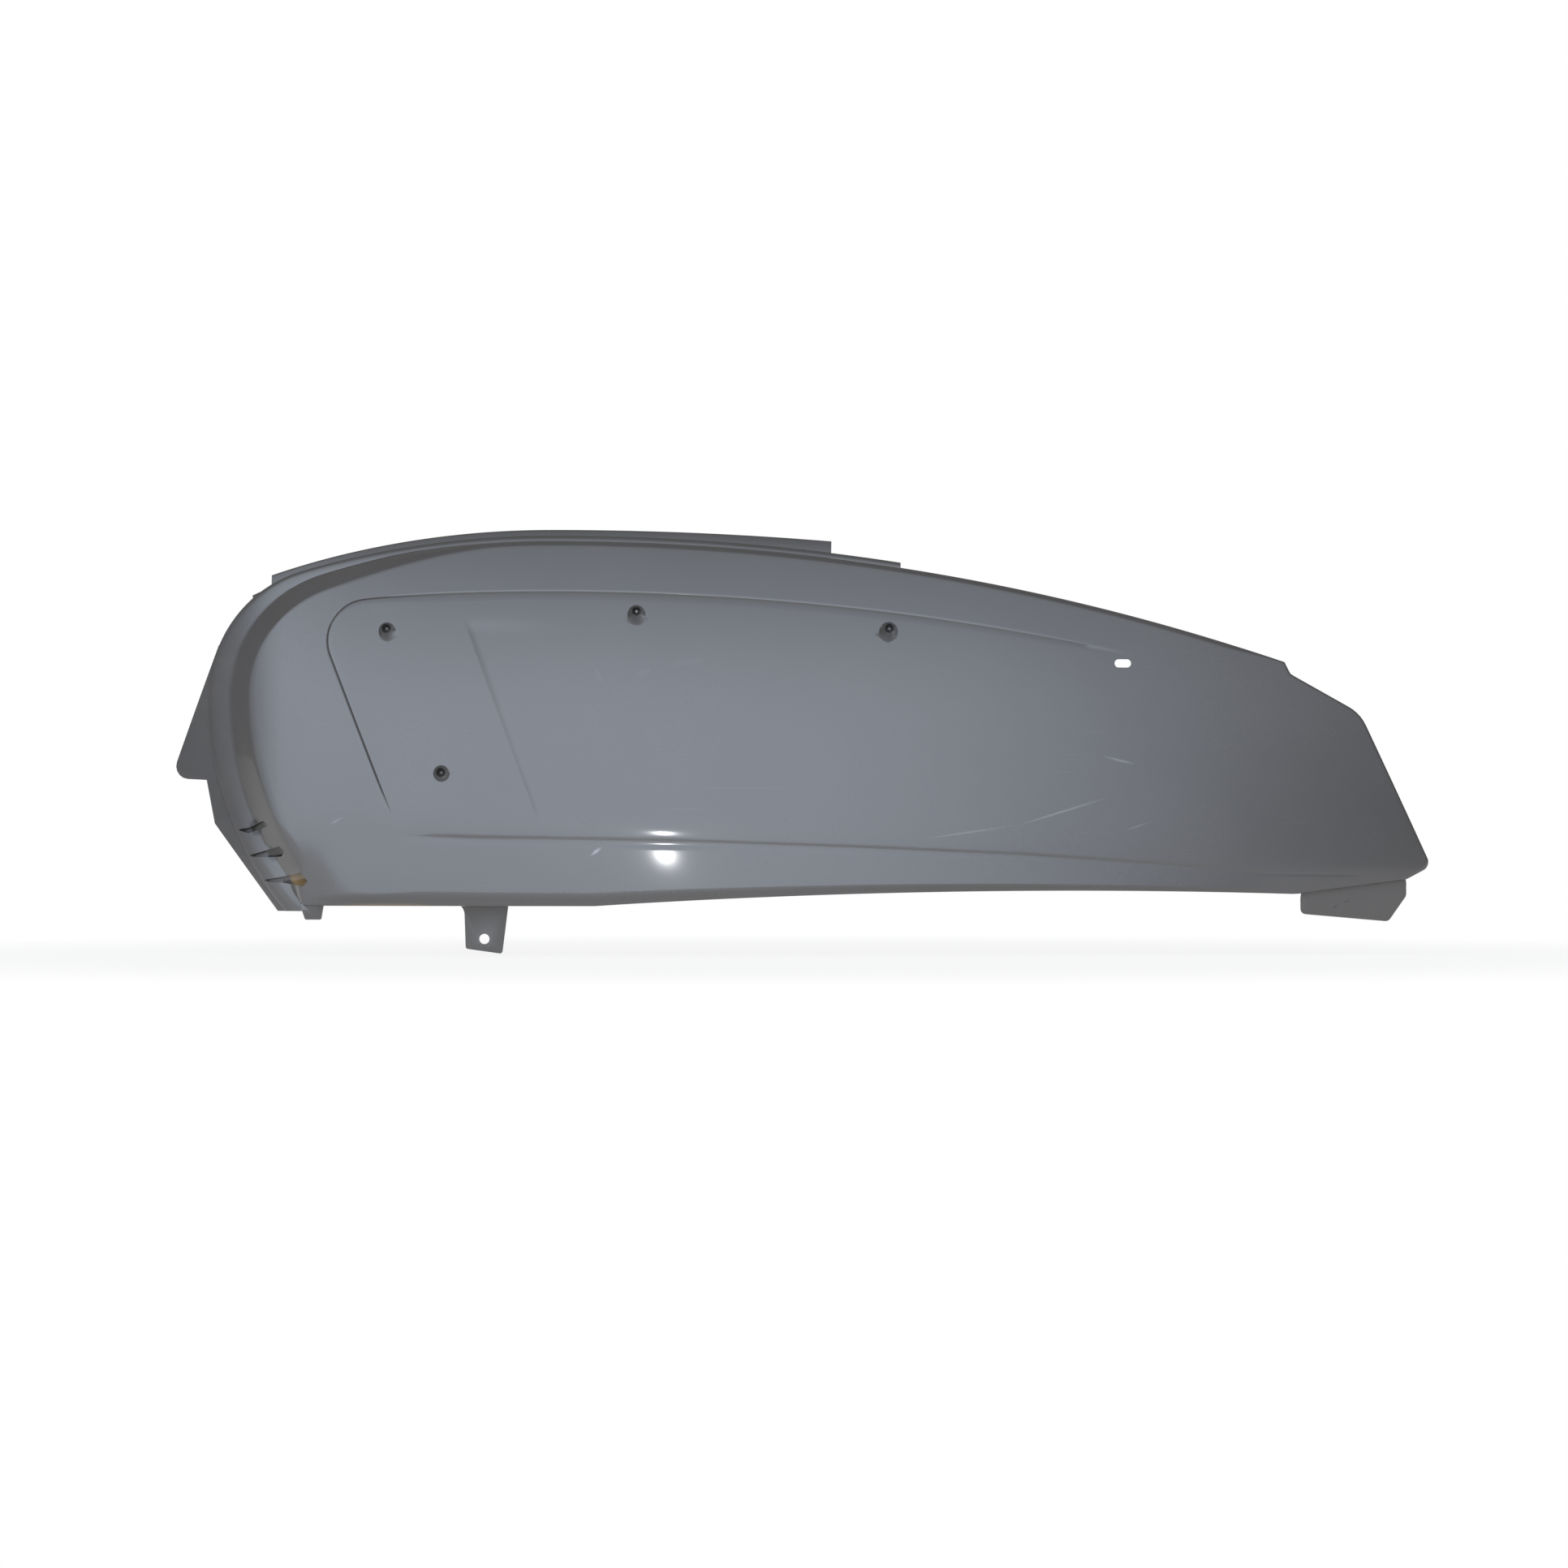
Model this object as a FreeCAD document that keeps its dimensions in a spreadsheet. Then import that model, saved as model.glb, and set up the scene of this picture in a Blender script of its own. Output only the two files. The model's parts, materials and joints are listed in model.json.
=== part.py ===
# Scooter rear side panel, left hand: one moulded shell with rim, flanges, tabs, bosses and gills.
# Frame: X runs rearwards along the panel, Z is up, Y points into the scooter.
# The origin is the middle of the lower fixing hole on the front face of its tab.
import FreeCAD, Part
import Sketcher
import os

Vector = FreeCAD.Vector
doc = FreeCAD.newDocument("side_panel")

# Sizes in millimetres and degrees
SIZES = [
    ("wall", 2.8, "thickness of the moulding"),
    ("return_depth", 15.2, "depth of the wall that turns in round the edge"),
    ("belly_out", 23, "how far the fullest line stands in front of the fixing tab"),
    ("belly_x", 110, "where the plan curve is fullest"),
    ("belly_front_z", 56, "height of the fullest line at the front"),
    ("belly_rear_z", 36, "height of the fullest line at the tail"),
    ("plan_radius", 1250, "plan curve of the skin"),
    ("section_radius", 345, "upright curve of the skin"),
    ("roll_start", 70, "where the skin starts to roll in, ahead of the fixing hole"),
    ("roll_radius", 190, "roll of the skin towards the nose"),
    ("nose_reach", 152, "rim nose ahead of the fixing hole"),
    ("nose_z", 133, "height of the rim nose"),
    ("nose_radius", 74, "rim corner above the nose"),
    ("brow_rise", 12.5, "rise of the rim from that corner to the crown"),
    ("crown_x", 34, "highest place of the top edge"),
    ("chin_radius", 182, "rim below the nose"),
    ("top_radius", 1260, "top edge behind the crown"),
    ("rim_width", 10, "rim at the nose"),
    ("rim_taper", 4, "how much tighter the skin corner is than the rim corner"),
    ("rim_top", 3, "rim along the top"),
    ("rim_end", 226, "rear end of the rim"),
    ("rim_foot_z", 15, "lower end of the rim"),
    ("rim_drop", 8, "rim behind the skin"),
    ("nose_fillet", 6.5, "rounding of the skin edge at the nose"),
    ("top_fillet", 3.2, "rounding of the skin edge along the top"),
    ("flange_drop", 12, "flanges behind the skin"),
    ("flange_front", 118, "top flange ahead of the fixing hole"),
    ("flange_front_z", 198.3, "height of the top flange at its front end"),
    ("flange_step", 10.5, "length of the low piece before the top flange"),
    ("flange_step_z", 192, "height of that low piece"),
    ("flange_step_fall", 4.7, "fall of that low piece"),
    ("flange_rise", 3.3, "top flange above the rim at the crown"),
    ("flange_rear", 188.3, "rear end of the top flange"),
    ("flange_rear_fall", 6.3, "fall of the top flange to its rear end"),
    ("wing_reach", 21.4, "wing tip ahead of the rim nose"),
    ("wing_low_z", 87.2, "lower edge of the wing"),
    ("wing_high_z", 160, "upper end of the wing"),
    ("wing_radius", 7, "rounding of the wing tip"),
    ("wing_root", 1, "wing root beside the rim nose"),
    ("strip_out", 9.7, "lower flange ahead of the rim"),
    ("strip_z", 62.5, "corner of the lower flange"),
    ("strip_foot", 4.4, "lower flange ahead of the rim at its foot"),
    ("sill_z", 18, "bottom edge at the front"),
    ("sill_bend_x", 60, "where the bottom edge starts to arch"),
    ("sill_arch", 3900, "arch of the bottom edge"),
    ("sill_rear_x", 441, "rear end of the bottom edge"),
    ("sill_rear_rise", 6, "rise of the bottom edge to that end"),
    ("notch_x", 436, "step in the top edge at the tail"),
    ("notch_lean", 3, "lean of that step"),
    ("notch_step", 6.5, "height of that step"),
    ("notch_radius", 3, "rounding of that step"),
    ("shoulder_run", 38.6, "step to tail shoulder, along"),
    ("shoulder_drop", 21.5, "step to tail shoulder, down"),
    ("shoulder_radius", 22, "rounding of the tail shoulder"),
    ("tail_x", 516.5, "tail tip"),
    ("tail_lift", 15, "tail tip above the rear end of the bottom edge"),
    ("tail_radius", 5, "rounding of the tail tip"),
    ("heel_run", 62, "rear end of the bottom edge to the heel"),
    ("heel_lift", 8, "heel above that end"),
    ("recess_depth", 1.2, "trim seat below the skin at its front end"),
    ("recess_fade", 0.12, "trim seat below the skin at its rear end"),
    ("recess_front", 94.6, "upper front corner of the trim seat ahead of the fixing hole"),
    ("recess_front_z", 182.3, "height of that corner"),
    ("recess_lean", 0.39, "lean of the front edge, along per unit of height"),
    ("recess_top_radius", 1550, "upper edge of the trim seat"),
    ("recess_rear", 357, "upper rear corner of the trim seat"),
    ("recess_rear_z", 153.5, "height of that corner"),
    ("recess_hook_run", 9, "hook at that corner, along"),
    ("recess_hook_drop", 7.5, "hook at that corner, down"),
    ("recess_radius", 22, "rounding of the upper front corner"),
    ("crease_front_z", 57.5, "lower edge of the trim seat at the front"),
    ("crease_rear_z", 36, "lower edge of the trim seat at the rear"),
    ("crease_rear", 425, "rear end of the lower edge"),
    ("panel_extra", 0.4, "front field of the trim seat below the rest"),
    ("panel_lap", 0.5, "front field past the edge of the trim seat"),
    ("panel_rear", -12.5, "upper rear corner of the front field"),
    ("panel_low_z", 68.5, "lower edge of the front field"),
    ("screw_radius", 2.25, "trim screw hole"),
    ("sink_radius", 5, "counterbore of a trim screw"),
    ("sink_depth", 4.5, "counterbore below the skin"),
    ("boss_radius", 7.2, "boss behind a trim screw"),
    ("boss_depth", 9.5, "end of a boss below the skin"),
    ("rib_width", 2, "rib from a boss to the top wall"),
    ("rib_length", 26, "length of a rib above its screw"),
    ("rib_step", 1, "rib below the end of its boss"),
    ("screw_front_x", -53.7, "front trim screw"),
    ("screw_front_z", 168.5, "height of the front trim screw"),
    ("screw_mid_x", 82.3, "middle trim screw"),
    ("screw_mid_z", 177.8, "height of the middle trim screw"),
    ("screw_rear_x", 219.6, "rear trim screw"),
    ("screw_rear_z", 168.5, "height of the rear trim screw"),
    ("screw_low_x", -23.3, "lower trim screw"),
    ("screw_low_z", 90.2, "height of the lower trim screw"),
    ("slot_x", 346.7, "trim slot"),
    ("slot_z", 149.6, "height of the trim slot"),
    ("slot_run", 4.5, "length of the trim slot between its end centres"),
    ("gill_count", 3, "gills at the chin"),
    ("gill_low_x", -118.5, "front end of the lowest gill"),
    ("gill_low_z", 32, "height of the lowest gill"),
    ("gill_pitch", 14.2, "height between gills"),
    ("gill_shift", 8.2, "shift of each gill towards the nose"),
    ("gill_length", 22, "length of a gill"),
    ("gill_front_height", 1.4, "gill at its front end"),
    ("gill_rear_height", 3.6, "gill at its rear end"),
    ("gill_tilt", 1.8, "rise of a gill to its rear end"),
    ("gill_depth", 9.6, "bottom of a gill below the skin"),
    ("gill_back", 2, "wall behind a gill"),
    ("tab_front", 11.1, "fixing tab ahead of its hole at the top"),
    ("tab_rear", 13.2, "fixing tab behind its hole at the top"),
    ("tab_taper", 3.5, "taper of the rear side of the fixing tab"),
    ("tab_below_front", 5.3, "fixing tab below its hole, front corner"),
    ("tab_below_rear", 8.1, "fixing tab below its hole, rear corner"),
    ("tab_radius", 1.5, "rounding of the fixing tab"),
    ("gusset_run", 5.4, "gusset beside the fixing tab"),
    ("gusset_radius", 7, "hollow of that gusset"),
    ("fixing_radius", 2.75, "fixing hole"),
    ("web_step", 0.4, "web of the fixing tab above the bottom edge"),
    ("hook_front", 100.3, "hook ahead of the fixing hole"),
    ("hook_width", 13.4, "width of the hook"),
    ("hook_drop", 7.6, "hook below the bottom edge"),
    ("hook_taper", 3, "taper of the hook"),
    ("hook_start", 3, "front of the hook below the skin"),
    ("hook_thick", 6, "thickness of the hook"),
    ("rear_tab_gap", 2.8, "rear tab behind the end of the bottom edge"),
    ("rear_tab_drop", 3.5, "rear tab below the skin"),
    ("rear_tab_low", 10.8, "rear tab below the bottom edge, front corner"),
    ("rear_tab_fall", 4.4, "fall of the rear tab to its rear corner"),
    ("rear_tab_run", 49, "length of the rear tab along its lower edge"),
    ("rear_tab_flare", 10, "flare of its rear end"),
    ("rear_tab_side", 14, "height of its rear end"),
    ("rear_tab_radius", 3, "rounding of the rear tab"),
    ("rear_lip_height", 3, "lip along the lower edge of the rear tab"),
    ("rear_lip_depth", 10, "end of that lip below the skin"),
]
dims = doc.addObject("Spreadsheet::Sheet", "dims")
for row, (alias, value, note) in enumerate(SIZES, start=1):
    dims.set(f"A{row}", note)
    dims.set(f"B{row}", str(value))
    dims.setAlias(f"B{row}", alias)
doc.recompute()

# Sizes that follow from the sheet
form = doc.addObject("App::VarSet", "form")


def number(text):
    return float(dims.evalExpression(text))


def derive(name, text):
    form.addProperty("App::PropertyFloat", name, "form", "")
    form.setExpression(name, text)
    doc.recompute()


derive("tip_rim", "-dims.nose_reach")
derive("tip_skin", "-dims.nose_reach + dims.rim_width")
derive("chin_centre", "-dims.nose_reach + dims.chin_radius")
derive("chin_rim", "dims.chin_radius")
derive("chin_skin", "dims.chin_radius - dims.rim_width")
derive("nose_rim", "dims.nose_radius")
derive("nose_skin", "dims.nose_radius - dims.rim_taper")
derive("rise_rim", "dims.brow_rise")
derive("rise_skin", "dims.brow_rise + dims.rim_taper - dims.rim_top")
for edge in ("rim", "skin"):
    derive(f"nose_centre_{edge}", f"form.tip_{edge} + form.nose_{edge}")
    derive(f"crown_{edge}", f"dims.nose_z + form.nose_{edge} + form.rise_{edge}")
    derive(f"span_{edge}", f"dims.crown_x - form.nose_centre_{edge}")
    derive(f"brow_{edge}", f"form.span_{edge} ^ 2 / (2 * form.rise_{edge})"
                           f" + form.nose_{edge} + form.rise_{edge} / 2")
    derive(f"joint_{edge}", f"form.span_{edge} / (form.brow_{edge} - form.nose_{edge})")
    derive(f"joint_up_{edge}", f"sqrt(1 - form.joint_{edge} ^ 2)")
derive("sill_rear_z", "dims.sill_z + dims.sill_rear_rise")
derive("heel_x", "dims.sill_rear_x + dims.heel_run")
derive("heel_z", "form.sill_rear_z + dims.heel_lift")
derive("front_end", "-dims.nose_reach - dims.wing_reach - 20")
derive("rear_end", "dims.tail_x + 20")


# Places on the rim edge or the skin edge, set in from it by a given amount
def tip(edge, inset):
    return (f"form.tip_{edge} + {inset}", "dims.nose_z")


def joint(edge, inset):
    return (f"form.nose_centre_{edge} - (form.nose_{edge} - {inset}) * form.joint_{edge}",
            f"dims.nose_z + (form.nose_{edge} - {inset}) * form.joint_up_{edge}")


def crown(edge, inset):
    return ("dims.crown_x", f"form.crown_{edge} - {inset}")


def on_top(edge, inset, x):
    return (x, f"form.crown_{edge} - dims.top_radius"
               f" + sqrt((dims.top_radius - {inset}) ^ 2 - ({x} - dims.crown_x) ^ 2)")


def on_chin(edge, inset, z):
    return (f"form.chin_centre - sqrt((form.chin_{edge} - {inset}) ^ 2 - (dims.nose_z - ({z})) ^ 2)", z)


def belly_height(x):
    return (f"(dims.belly_front_z + (dims.belly_rear_z - dims.belly_front_z)"
            f" * (({x}) - form.front_end) / (form.rear_end - form.front_end))")


def belly_depth(x):
    return (f"(-dims.belly_out + (({x}) - dims.belly_x) ^ 2 / (2 * dims.plan_radius)"
            f" + max(0; -dims.roll_start - ({x})) ^ 2 / (2 * dims.roll_radius))")


def skin_depth(x, z):
    return f"{belly_depth(x)} + (({z}) - {belly_height(x)}) ^ 2 / (2 * dims.section_radius)"


# Sketches whose corners and radii are bound to the sheet
LEFT, RIGHT = 1, -1
FRONT_VIEW = FreeCAD.Placement(Vector(0, 0, 0), FreeCAD.Rotation(Vector(1, 0, 0), 90))
SECTION_VIEW = FreeCAD.Rotation(Vector(1, 1, 1), 120)


def bind(sketch, constraint, text):
    index = sketch.addConstraint(constraint)
    sketch.setExpression(f"Constraints[{index}]", text)


def lock(sketch, geometry, point, across, up):
    bind(sketch, Sketcher.Constraint("DistanceX", -1, 1, geometry, point, number(across)), across)
    bind(sketch, Sketcher.Constraint("DistanceY", -1, 1, geometry, point, number(up)), up)


def arc(start, finish, radius, turn):
    half = (finish - start) * 0.5
    aside = Vector(-half.y, half.x, 0).normalize() * turn
    centre = start + half + aside * max(radius ** 2 - half.Length ** 2, 0) ** 0.5
    first, last = (start, finish) if turn == LEFT else (finish, start)
    circle = Part.Circle(centre, Vector(0, 0, 1), radius)
    return Part.ArcOfCircle(circle, circle.parameter(first), circle.parameter(last))


def draw(sketch, corners, bends):
    points = [Vector(number(across), number(up), 0) for across, up in corners]
    edges = []
    for index, start in enumerate(points):
        finish = points[(index + 1) % len(points)]
        if index in bends:
            radius, turn = bends[index]
            geometry = sketch.addGeometry(arc(start, finish, number(radius), turn))
            bind(sketch, Sketcher.Constraint("Radius", geometry, number(radius)), radius)
            edges.append((geometry, 1, 2) if turn == LEFT else (geometry, 2, 1))
        else:
            edges.append((sketch.addGeometry(Part.LineSegment(start, finish)), 1, 2))
    for index, (geometry, first, last) in enumerate(edges):
        lock(sketch, geometry, first, *corners[index])
        following, start, _ = edges[(index + 1) % len(edges)]
        sketch.addConstraint(Sketcher.Constraint("Coincident", geometry, last, following, start))
    return sketch


def profile(name, corners, bends=None):
    sketch = doc.addObject("Sketcher::SketchObject", name)
    sketch.Placement = FRONT_VIEW
    return draw(sketch, corners, bends or {})


def circles(name, centres, radius):
    sketch = doc.addObject("Sketcher::SketchObject", name)
    sketch.Placement = FRONT_VIEW
    for across, up in centres:
        middle = Vector(number(across), number(up), 0)
        geometry = sketch.addGeometry(Part.Circle(middle, Vector(0, 0, 1), number(radius)))
        bind(sketch, Sketcher.Constraint("Radius", geometry, number(radius)), radius)
        lock(sketch, geometry, 3, across, up)
    return sketch


# Solids: prisms along Y, layers that follow the skin, and their combinations
def prism(name, base, start="-dims.belly_out - 60", end="dims.belly_out + 140"):
    solid = doc.addObject("Part::Extrusion", name)
    solid.Base = base
    solid.DirMode = "Custom"
    solid.Dir = Vector(0, 1, 0)
    solid.Solid = True
    solid.setExpression("LengthFwd", end)
    solid.setExpression("LengthRev", f"-({start})")
    return solid


def common(name, first, second):
    result = doc.addObject("Part::Common", name)
    result.Base = first
    result.Tool = second
    return result


def cut(name, base, tool):
    result = doc.addObject("Part::Cut", name)
    result.Base = base
    result.Tool = tool
    return result


def fuse(name, shapes):
    result = doc.addObject("Part::MultiFuse", name)
    result.Shapes = shapes
    return result


def rounded(name, solid, corners):
    doc.recompute()
    result = doc.addObject("Part::Fillet", name)
    result.Base = solid
    places = [(number(x), number(z), number(radius)) for x, z, radius in corners]
    chosen = []
    for index, edge in enumerate(solid.Shape.Edges, start=1):
        first, last = edge.Vertexes[0].Point, edge.Vertexes[-1].Point
        for x, z, radius in places:
            upright = abs(first.x - last.x) + abs(first.z - last.z) < 1e-4 and first != last
            if upright and abs(first.x - x) + abs(first.z - z) < 1e-3:
                chosen.append((index, radius, radius))
    result.Edges = chosen
    return result


# Skin surface: a loft of upright parabolas along the panel
STATIONS = [index / 12 for index in range(13)]
SECTION_LOW, SECTION_HIGH = "dims.sill_z - 45", "form.crown_rim + 35"
sections = []
for index, share in enumerate(STATIONS):
    station = f"(form.front_end + {share} * (form.rear_end - form.front_end))"
    section = doc.addObject("Sketcher::SketchObject", f"section_{index}")
    section.Placement = FreeCAD.Placement(Vector(number(station), 0, 0), SECTION_VIEW)
    section.setExpression("Placement.Base.x", station)
    vertex = Vector(number(belly_depth(station)), number(belly_height(station)), 0)
    focus = vertex + Vector(number("dims.section_radius / 2"), 0, 0)
    curve = Part.Parabola(focus, vertex, Vector(0, 0, 1))
    low, high = number(SECTION_LOW) - vertex.y, number(SECTION_HIGH) - vertex.y
    bow = section.addGeometry(Part.ArcOfParabola(curve, low, high))
    lock(section, bow, 3, belly_depth(station), belly_height(station))
    lock(section, bow, 1, skin_depth(station, SECTION_LOW), SECTION_LOW)
    lock(section, bow, 2, skin_depth(station, SECTION_HIGH), SECTION_HIGH)
    sections.append(section)
skin = doc.addObject("Part::Loft", "skin_surface")
skin.Sections = sections
skin.Solid = False
doc.recompute()


def layer(name, shallow, deep):
    return prism(name, skin, shallow, deep)


# Outline of the skin and of the hollow behind it
def front_corners(edge, inset):
    return [tip(edge, inset), joint(edge, inset), crown(edge, inset)]


def front_bends(edge, inset, first, turn):
    radii = [f"form.chin_{edge} - {inset}", f"form.nose_{edge} - {inset}",
             f"form.brow_{edge} - {inset}", f"dims.top_radius - {inset}"]
    if turn == LEFT:
        radii.reverse()
    return {first + step: (radius, turn) for step, radius in enumerate(radii)}


step_top = on_top("skin", "0", "dims.notch_x")
step_low = ("dims.notch_x + dims.notch_lean", f"{step_top[1]} - dims.notch_step")
shoulder = (f"{step_low[0]} + dims.shoulder_run", f"{step_low[1]} - dims.shoulder_drop")
tail = ("dims.tail_x", "form.sill_rear_z + dims.tail_lift")
outline = profile(
    "skin_outline",
    [on_chin("skin", "0", "dims.sill_z"), *front_corners("skin", "0"), step_top, step_low, shoulder, tail,
     ("form.heel_x", "form.heel_z"), ("dims.sill_rear_x", "form.sill_rear_z"), ("dims.sill_bend_x", "dims.sill_z")],
    {**front_bends("skin", "0", 0, RIGHT), 9: ("dims.sill_arch", LEFT)})
outline_block = rounded(
    "outline_block", prism("outline_prism", outline),
    [(*step_low, "dims.notch_radius"), (*shoulder, "dims.shoulder_radius"), (*tail, "dims.tail_radius")])
open_x, open_z = "dims.notch_x - 3 * dims.notch_step", "form.crown_rim"
hollow_outline = profile(
    "hollow_outline",
    [on_chin("skin", "dims.wall", "dims.sill_z + dims.wall"), *front_corners("skin", "dims.wall"),
     on_top("skin", "dims.wall", open_x), (open_x, open_z), ("dims.tail_x + 40", open_z),
     ("dims.tail_x + 40", "form.heel_z + dims.wall"), ("form.heel_x", "form.heel_z + dims.wall"),
     ("dims.sill_rear_x", "form.sill_rear_z + dims.wall"), ("dims.sill_bend_x", "dims.sill_z + dims.wall")],
    {**front_bends("skin", "dims.wall", 0, RIGHT), 9: ("dims.sill_arch", LEFT)})
hollow_prism = prism("hollow_prism", hollow_outline)
skin_block = common("skin_block", layer("skin_layer", "0", "dims.return_depth"), outline_block)
hollow_block = common("hollow_block", layer("hollow_layer", "dims.wall", "dims.return_depth + 30"), hollow_prism)
doc.recompute()


# Rounding of the skin edge, wide at the nose and narrow along the top
def edge_rounding(name, solid):
    result = doc.addObject("Part::Fillet", name)
    result.Base = solid
    wide, narrow = number("dims.nose_fillet"), number("dims.top_fillet")
    nose_x, nose_z = number("form.nose_centre_skin"), number("dims.nose_z")
    crown_x, notch_x = number("dims.crown_x"), number("dims.notch_x - 4 * dims.notch_step")
    front = max((face for face in solid.Shape.Faces if face.normalAt(*middle_of(face)).y < -0.5),
                key=lambda face: -face.CenterOfMass.y)
    chosen = []
    for index, edge in enumerate(solid.Shape.Edges, start=1):
        middle = edge.valueAt((edge.FirstParameter + edge.LastParameter) / 2)
        if not any(edge.isSame(other) for other in front.Edges):
            continue
        if middle.x < nose_x:
            chosen.append((index, wide, wide))
        elif middle.z > nose_z and middle.x < crown_x:
            forward = edge.valueAt(edge.FirstParameter).x < middle.x
            chosen.append((index, wide, narrow) if forward else (index, narrow, wide))
        elif middle.z > nose_z and middle.x < notch_x:
            chosen.append((index, narrow, narrow))
    result.Edges = chosen
    return result


def middle_of(face):
    first_u, last_u, first_v, last_v = face.ParameterRange
    return (first_u + last_u) / 2, (first_v + last_v) / 2


skin_round = edge_rounding("skin_round", skin_block)

# Rim: a lip set back from the skin all round the nose and along the top
INSIDE = "dims.wall / 2"
top_rim = on_top("rim", "0", "dims.rim_end")
top_skin = on_top("skin", INSIDE, "dims.rim_end")
rim_outline = profile(
    "rim_outline",
    [on_chin("rim", "0", "dims.rim_foot_z"), *front_corners("rim", "0"), top_rim,
     top_skin, *reversed(front_corners("skin", INSIDE)), on_chin("skin", INSIDE, "dims.rim_foot_z")],
    {**front_bends("rim", "0", 0, RIGHT), **front_bends("skin", INSIDE, 5, LEFT)})
rim = common("rim", layer("rim_layer", "dims.rim_drop", "dims.rim_drop + dims.wall"),
             prism("rim_prism", rim_outline))

# Wing and lower flange behind the rim
flange_layer = layer("flange_layer", "dims.flange_drop", "dims.flange_drop + dims.wall")
foot_x = on_chin("rim", "0", "dims.rim_foot_z")[0]
strip_x = on_chin("rim", "dims.strip_out * -1", "dims.strip_z")[0]
wing_inner = ("form.nose_centre_skin - sqrt((form.nose_skin - dims.wall / 2) ^ 2"
              " - (dims.wing_high_z - dims.nose_z) ^ 2)")
wing_tip = ("form.tip_rim - dims.wing_reach", "dims.wing_low_z")
wing_outline = profile(
    "wing_outline",
    [(f"{foot_x} - dims.strip_foot", "dims.rim_foot_z"), (strip_x, "dims.strip_z"),
     ("form.tip_rim - dims.wing_root", "dims.wing_low_z - dims.wing_root"), wing_tip,
     (f"{wing_inner} - 1.2 * dims.rim_width", "dims.wing_high_z"), (wing_inner, "dims.wing_high_z"),
     tip("skin", INSIDE), on_chin("skin", INSIDE, "dims.rim_foot_z")],
    {5: (f"form.nose_skin - {INSIDE}", LEFT), 6: (f"form.chin_skin - {INSIDE}", LEFT)})
wing_block = rounded("wing_block", prism("wing_prism", wing_outline), [(*wing_tip, "dims.wing_radius")])
wing = common("wing", flange_layer, wing_block)

# Top flange behind the rim
derive("flange_top", "form.crown_rim + dims.flange_rise")
derive("flange_fall", "form.flange_top - dims.flange_front_z")
derive("flange_run", "dims.crown_x + dims.flange_front")
derive("flange_brow", "(form.flange_run ^ 2 + form.flange_fall ^ 2) / (2 * form.flange_fall)")
derive("flange_tail", "((dims.flange_rear - dims.crown_x) ^ 2 + dims.flange_rear_fall ^ 2)"
                      " / (2 * dims.flange_rear_fall)")
step_x = "-dims.flange_front - dims.flange_step"
step_inner = f"dims.nose_z + sqrt((form.nose_skin - {INSIDE}) ^ 2 - ({step_x} - form.nose_centre_skin) ^ 2)"
flange_outline = profile(
    "flange_outline",
    [(step_x, "dims.flange_step_z - dims.flange_step_fall"), ("-dims.flange_front", "dims.flange_step_z"),
     ("-dims.flange_front", "dims.flange_front_z"), ("dims.crown_x", "form.flange_top"),
     ("dims.flange_rear", "form.flange_top - dims.flange_rear_fall"), on_top("skin", INSIDE, "dims.flange_rear"),
     crown("skin", INSIDE), joint("skin", INSIDE), (step_x, step_inner)],
    {2: ("form.flange_brow", RIGHT), 3: ("form.flange_tail", RIGHT), 5: (f"dims.top_radius - {INSIDE}", LEFT),
     6: (f"form.brow_skin - {INSIDE}", LEFT), 7: (f"form.nose_skin - {INSIDE}", LEFT)})
top_flange = common("top_flange", flange_layer, prism("flange_prism", flange_outline))

# Trim seat: a recess in the skin that fades out towards the tail
derive("seat_span", "dims.crease_rear + dims.recess_front")
fade = number("(dims.recess_depth - dims.recess_fade) / form.seat_span")
turn = FreeCAD.Rotation(Vector(0, 0, 1), -FreeCAD.Units.Quantity(f"{fade} rad").getValueAs("deg").Value)
pivot = Vector(number("-dims.recess_front"), number(skin_depth("-dims.recess_front", "dims.recess_front_z")), 0)
seat_tilt = FreeCAD.Placement(pivot - turn.multVec(pivot), turn)


front_low = "-dims.recess_front + dims.recess_lean * (dims.recess_front_z - dims.crease_front_z)"
seat_corners = [(front_low, "dims.crease_front_z"), ("-dims.recess_front", "dims.recess_front_z"),
                ("dims.recess_rear", "dims.recess_rear_z"),
                ("dims.recess_rear + dims.recess_hook_run", "dims.recess_rear_z - dims.recess_hook_drop"),
                ("dims.crease_rear", "dims.crease_rear_z")]
seat_outline = profile("seat_outline", seat_corners, {1: ("dims.recess_top_radius", RIGHT)})
seat_block = rounded("seat_block", prism("seat_prism", seat_outline), [(*seat_corners[1], "dims.recess_radius")])
seat_layer = layer("seat_layer", "-dims.belly_out", "dims.recess_depth")
field_layer = layer("field_layer", "-dims.belly_out", "dims.recess_depth + dims.panel_extra")
seat_layer.Placement = seat_tilt
field_layer.Placement = seat_tilt
seat_pocket = common("seat_pocket", seat_layer, seat_block)

# Front field of the trim seat, a little deeper, between two leaning edges
field_front = "-dims.recess_front - dims.panel_lap"
field_high = "dims.recess_front_z + dims.panel_lap"
field_fall = "dims.recess_lean * (dims.recess_front_z - dims.panel_low_z)"
field_top = "dims.recess_front_z + dims.panel_lap + (dims.panel_rear + dims.recess_front) * 0.055"
field_corners = [(f"{field_front} + {field_fall}", "dims.panel_low_z"), (field_front, field_high),
                 ("dims.panel_rear", field_top), (f"dims.panel_rear + {field_fall}", "dims.panel_low_z")]
field_outline = profile("field_outline", field_corners, {1: ("dims.recess_top_radius", RIGHT)})
field_block = rounded("field_block", prism("field_prism", field_outline),
                      [(*field_corners[1], "dims.recess_radius")])
field_pocket = common("field_pocket", field_layer, field_block)

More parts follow.
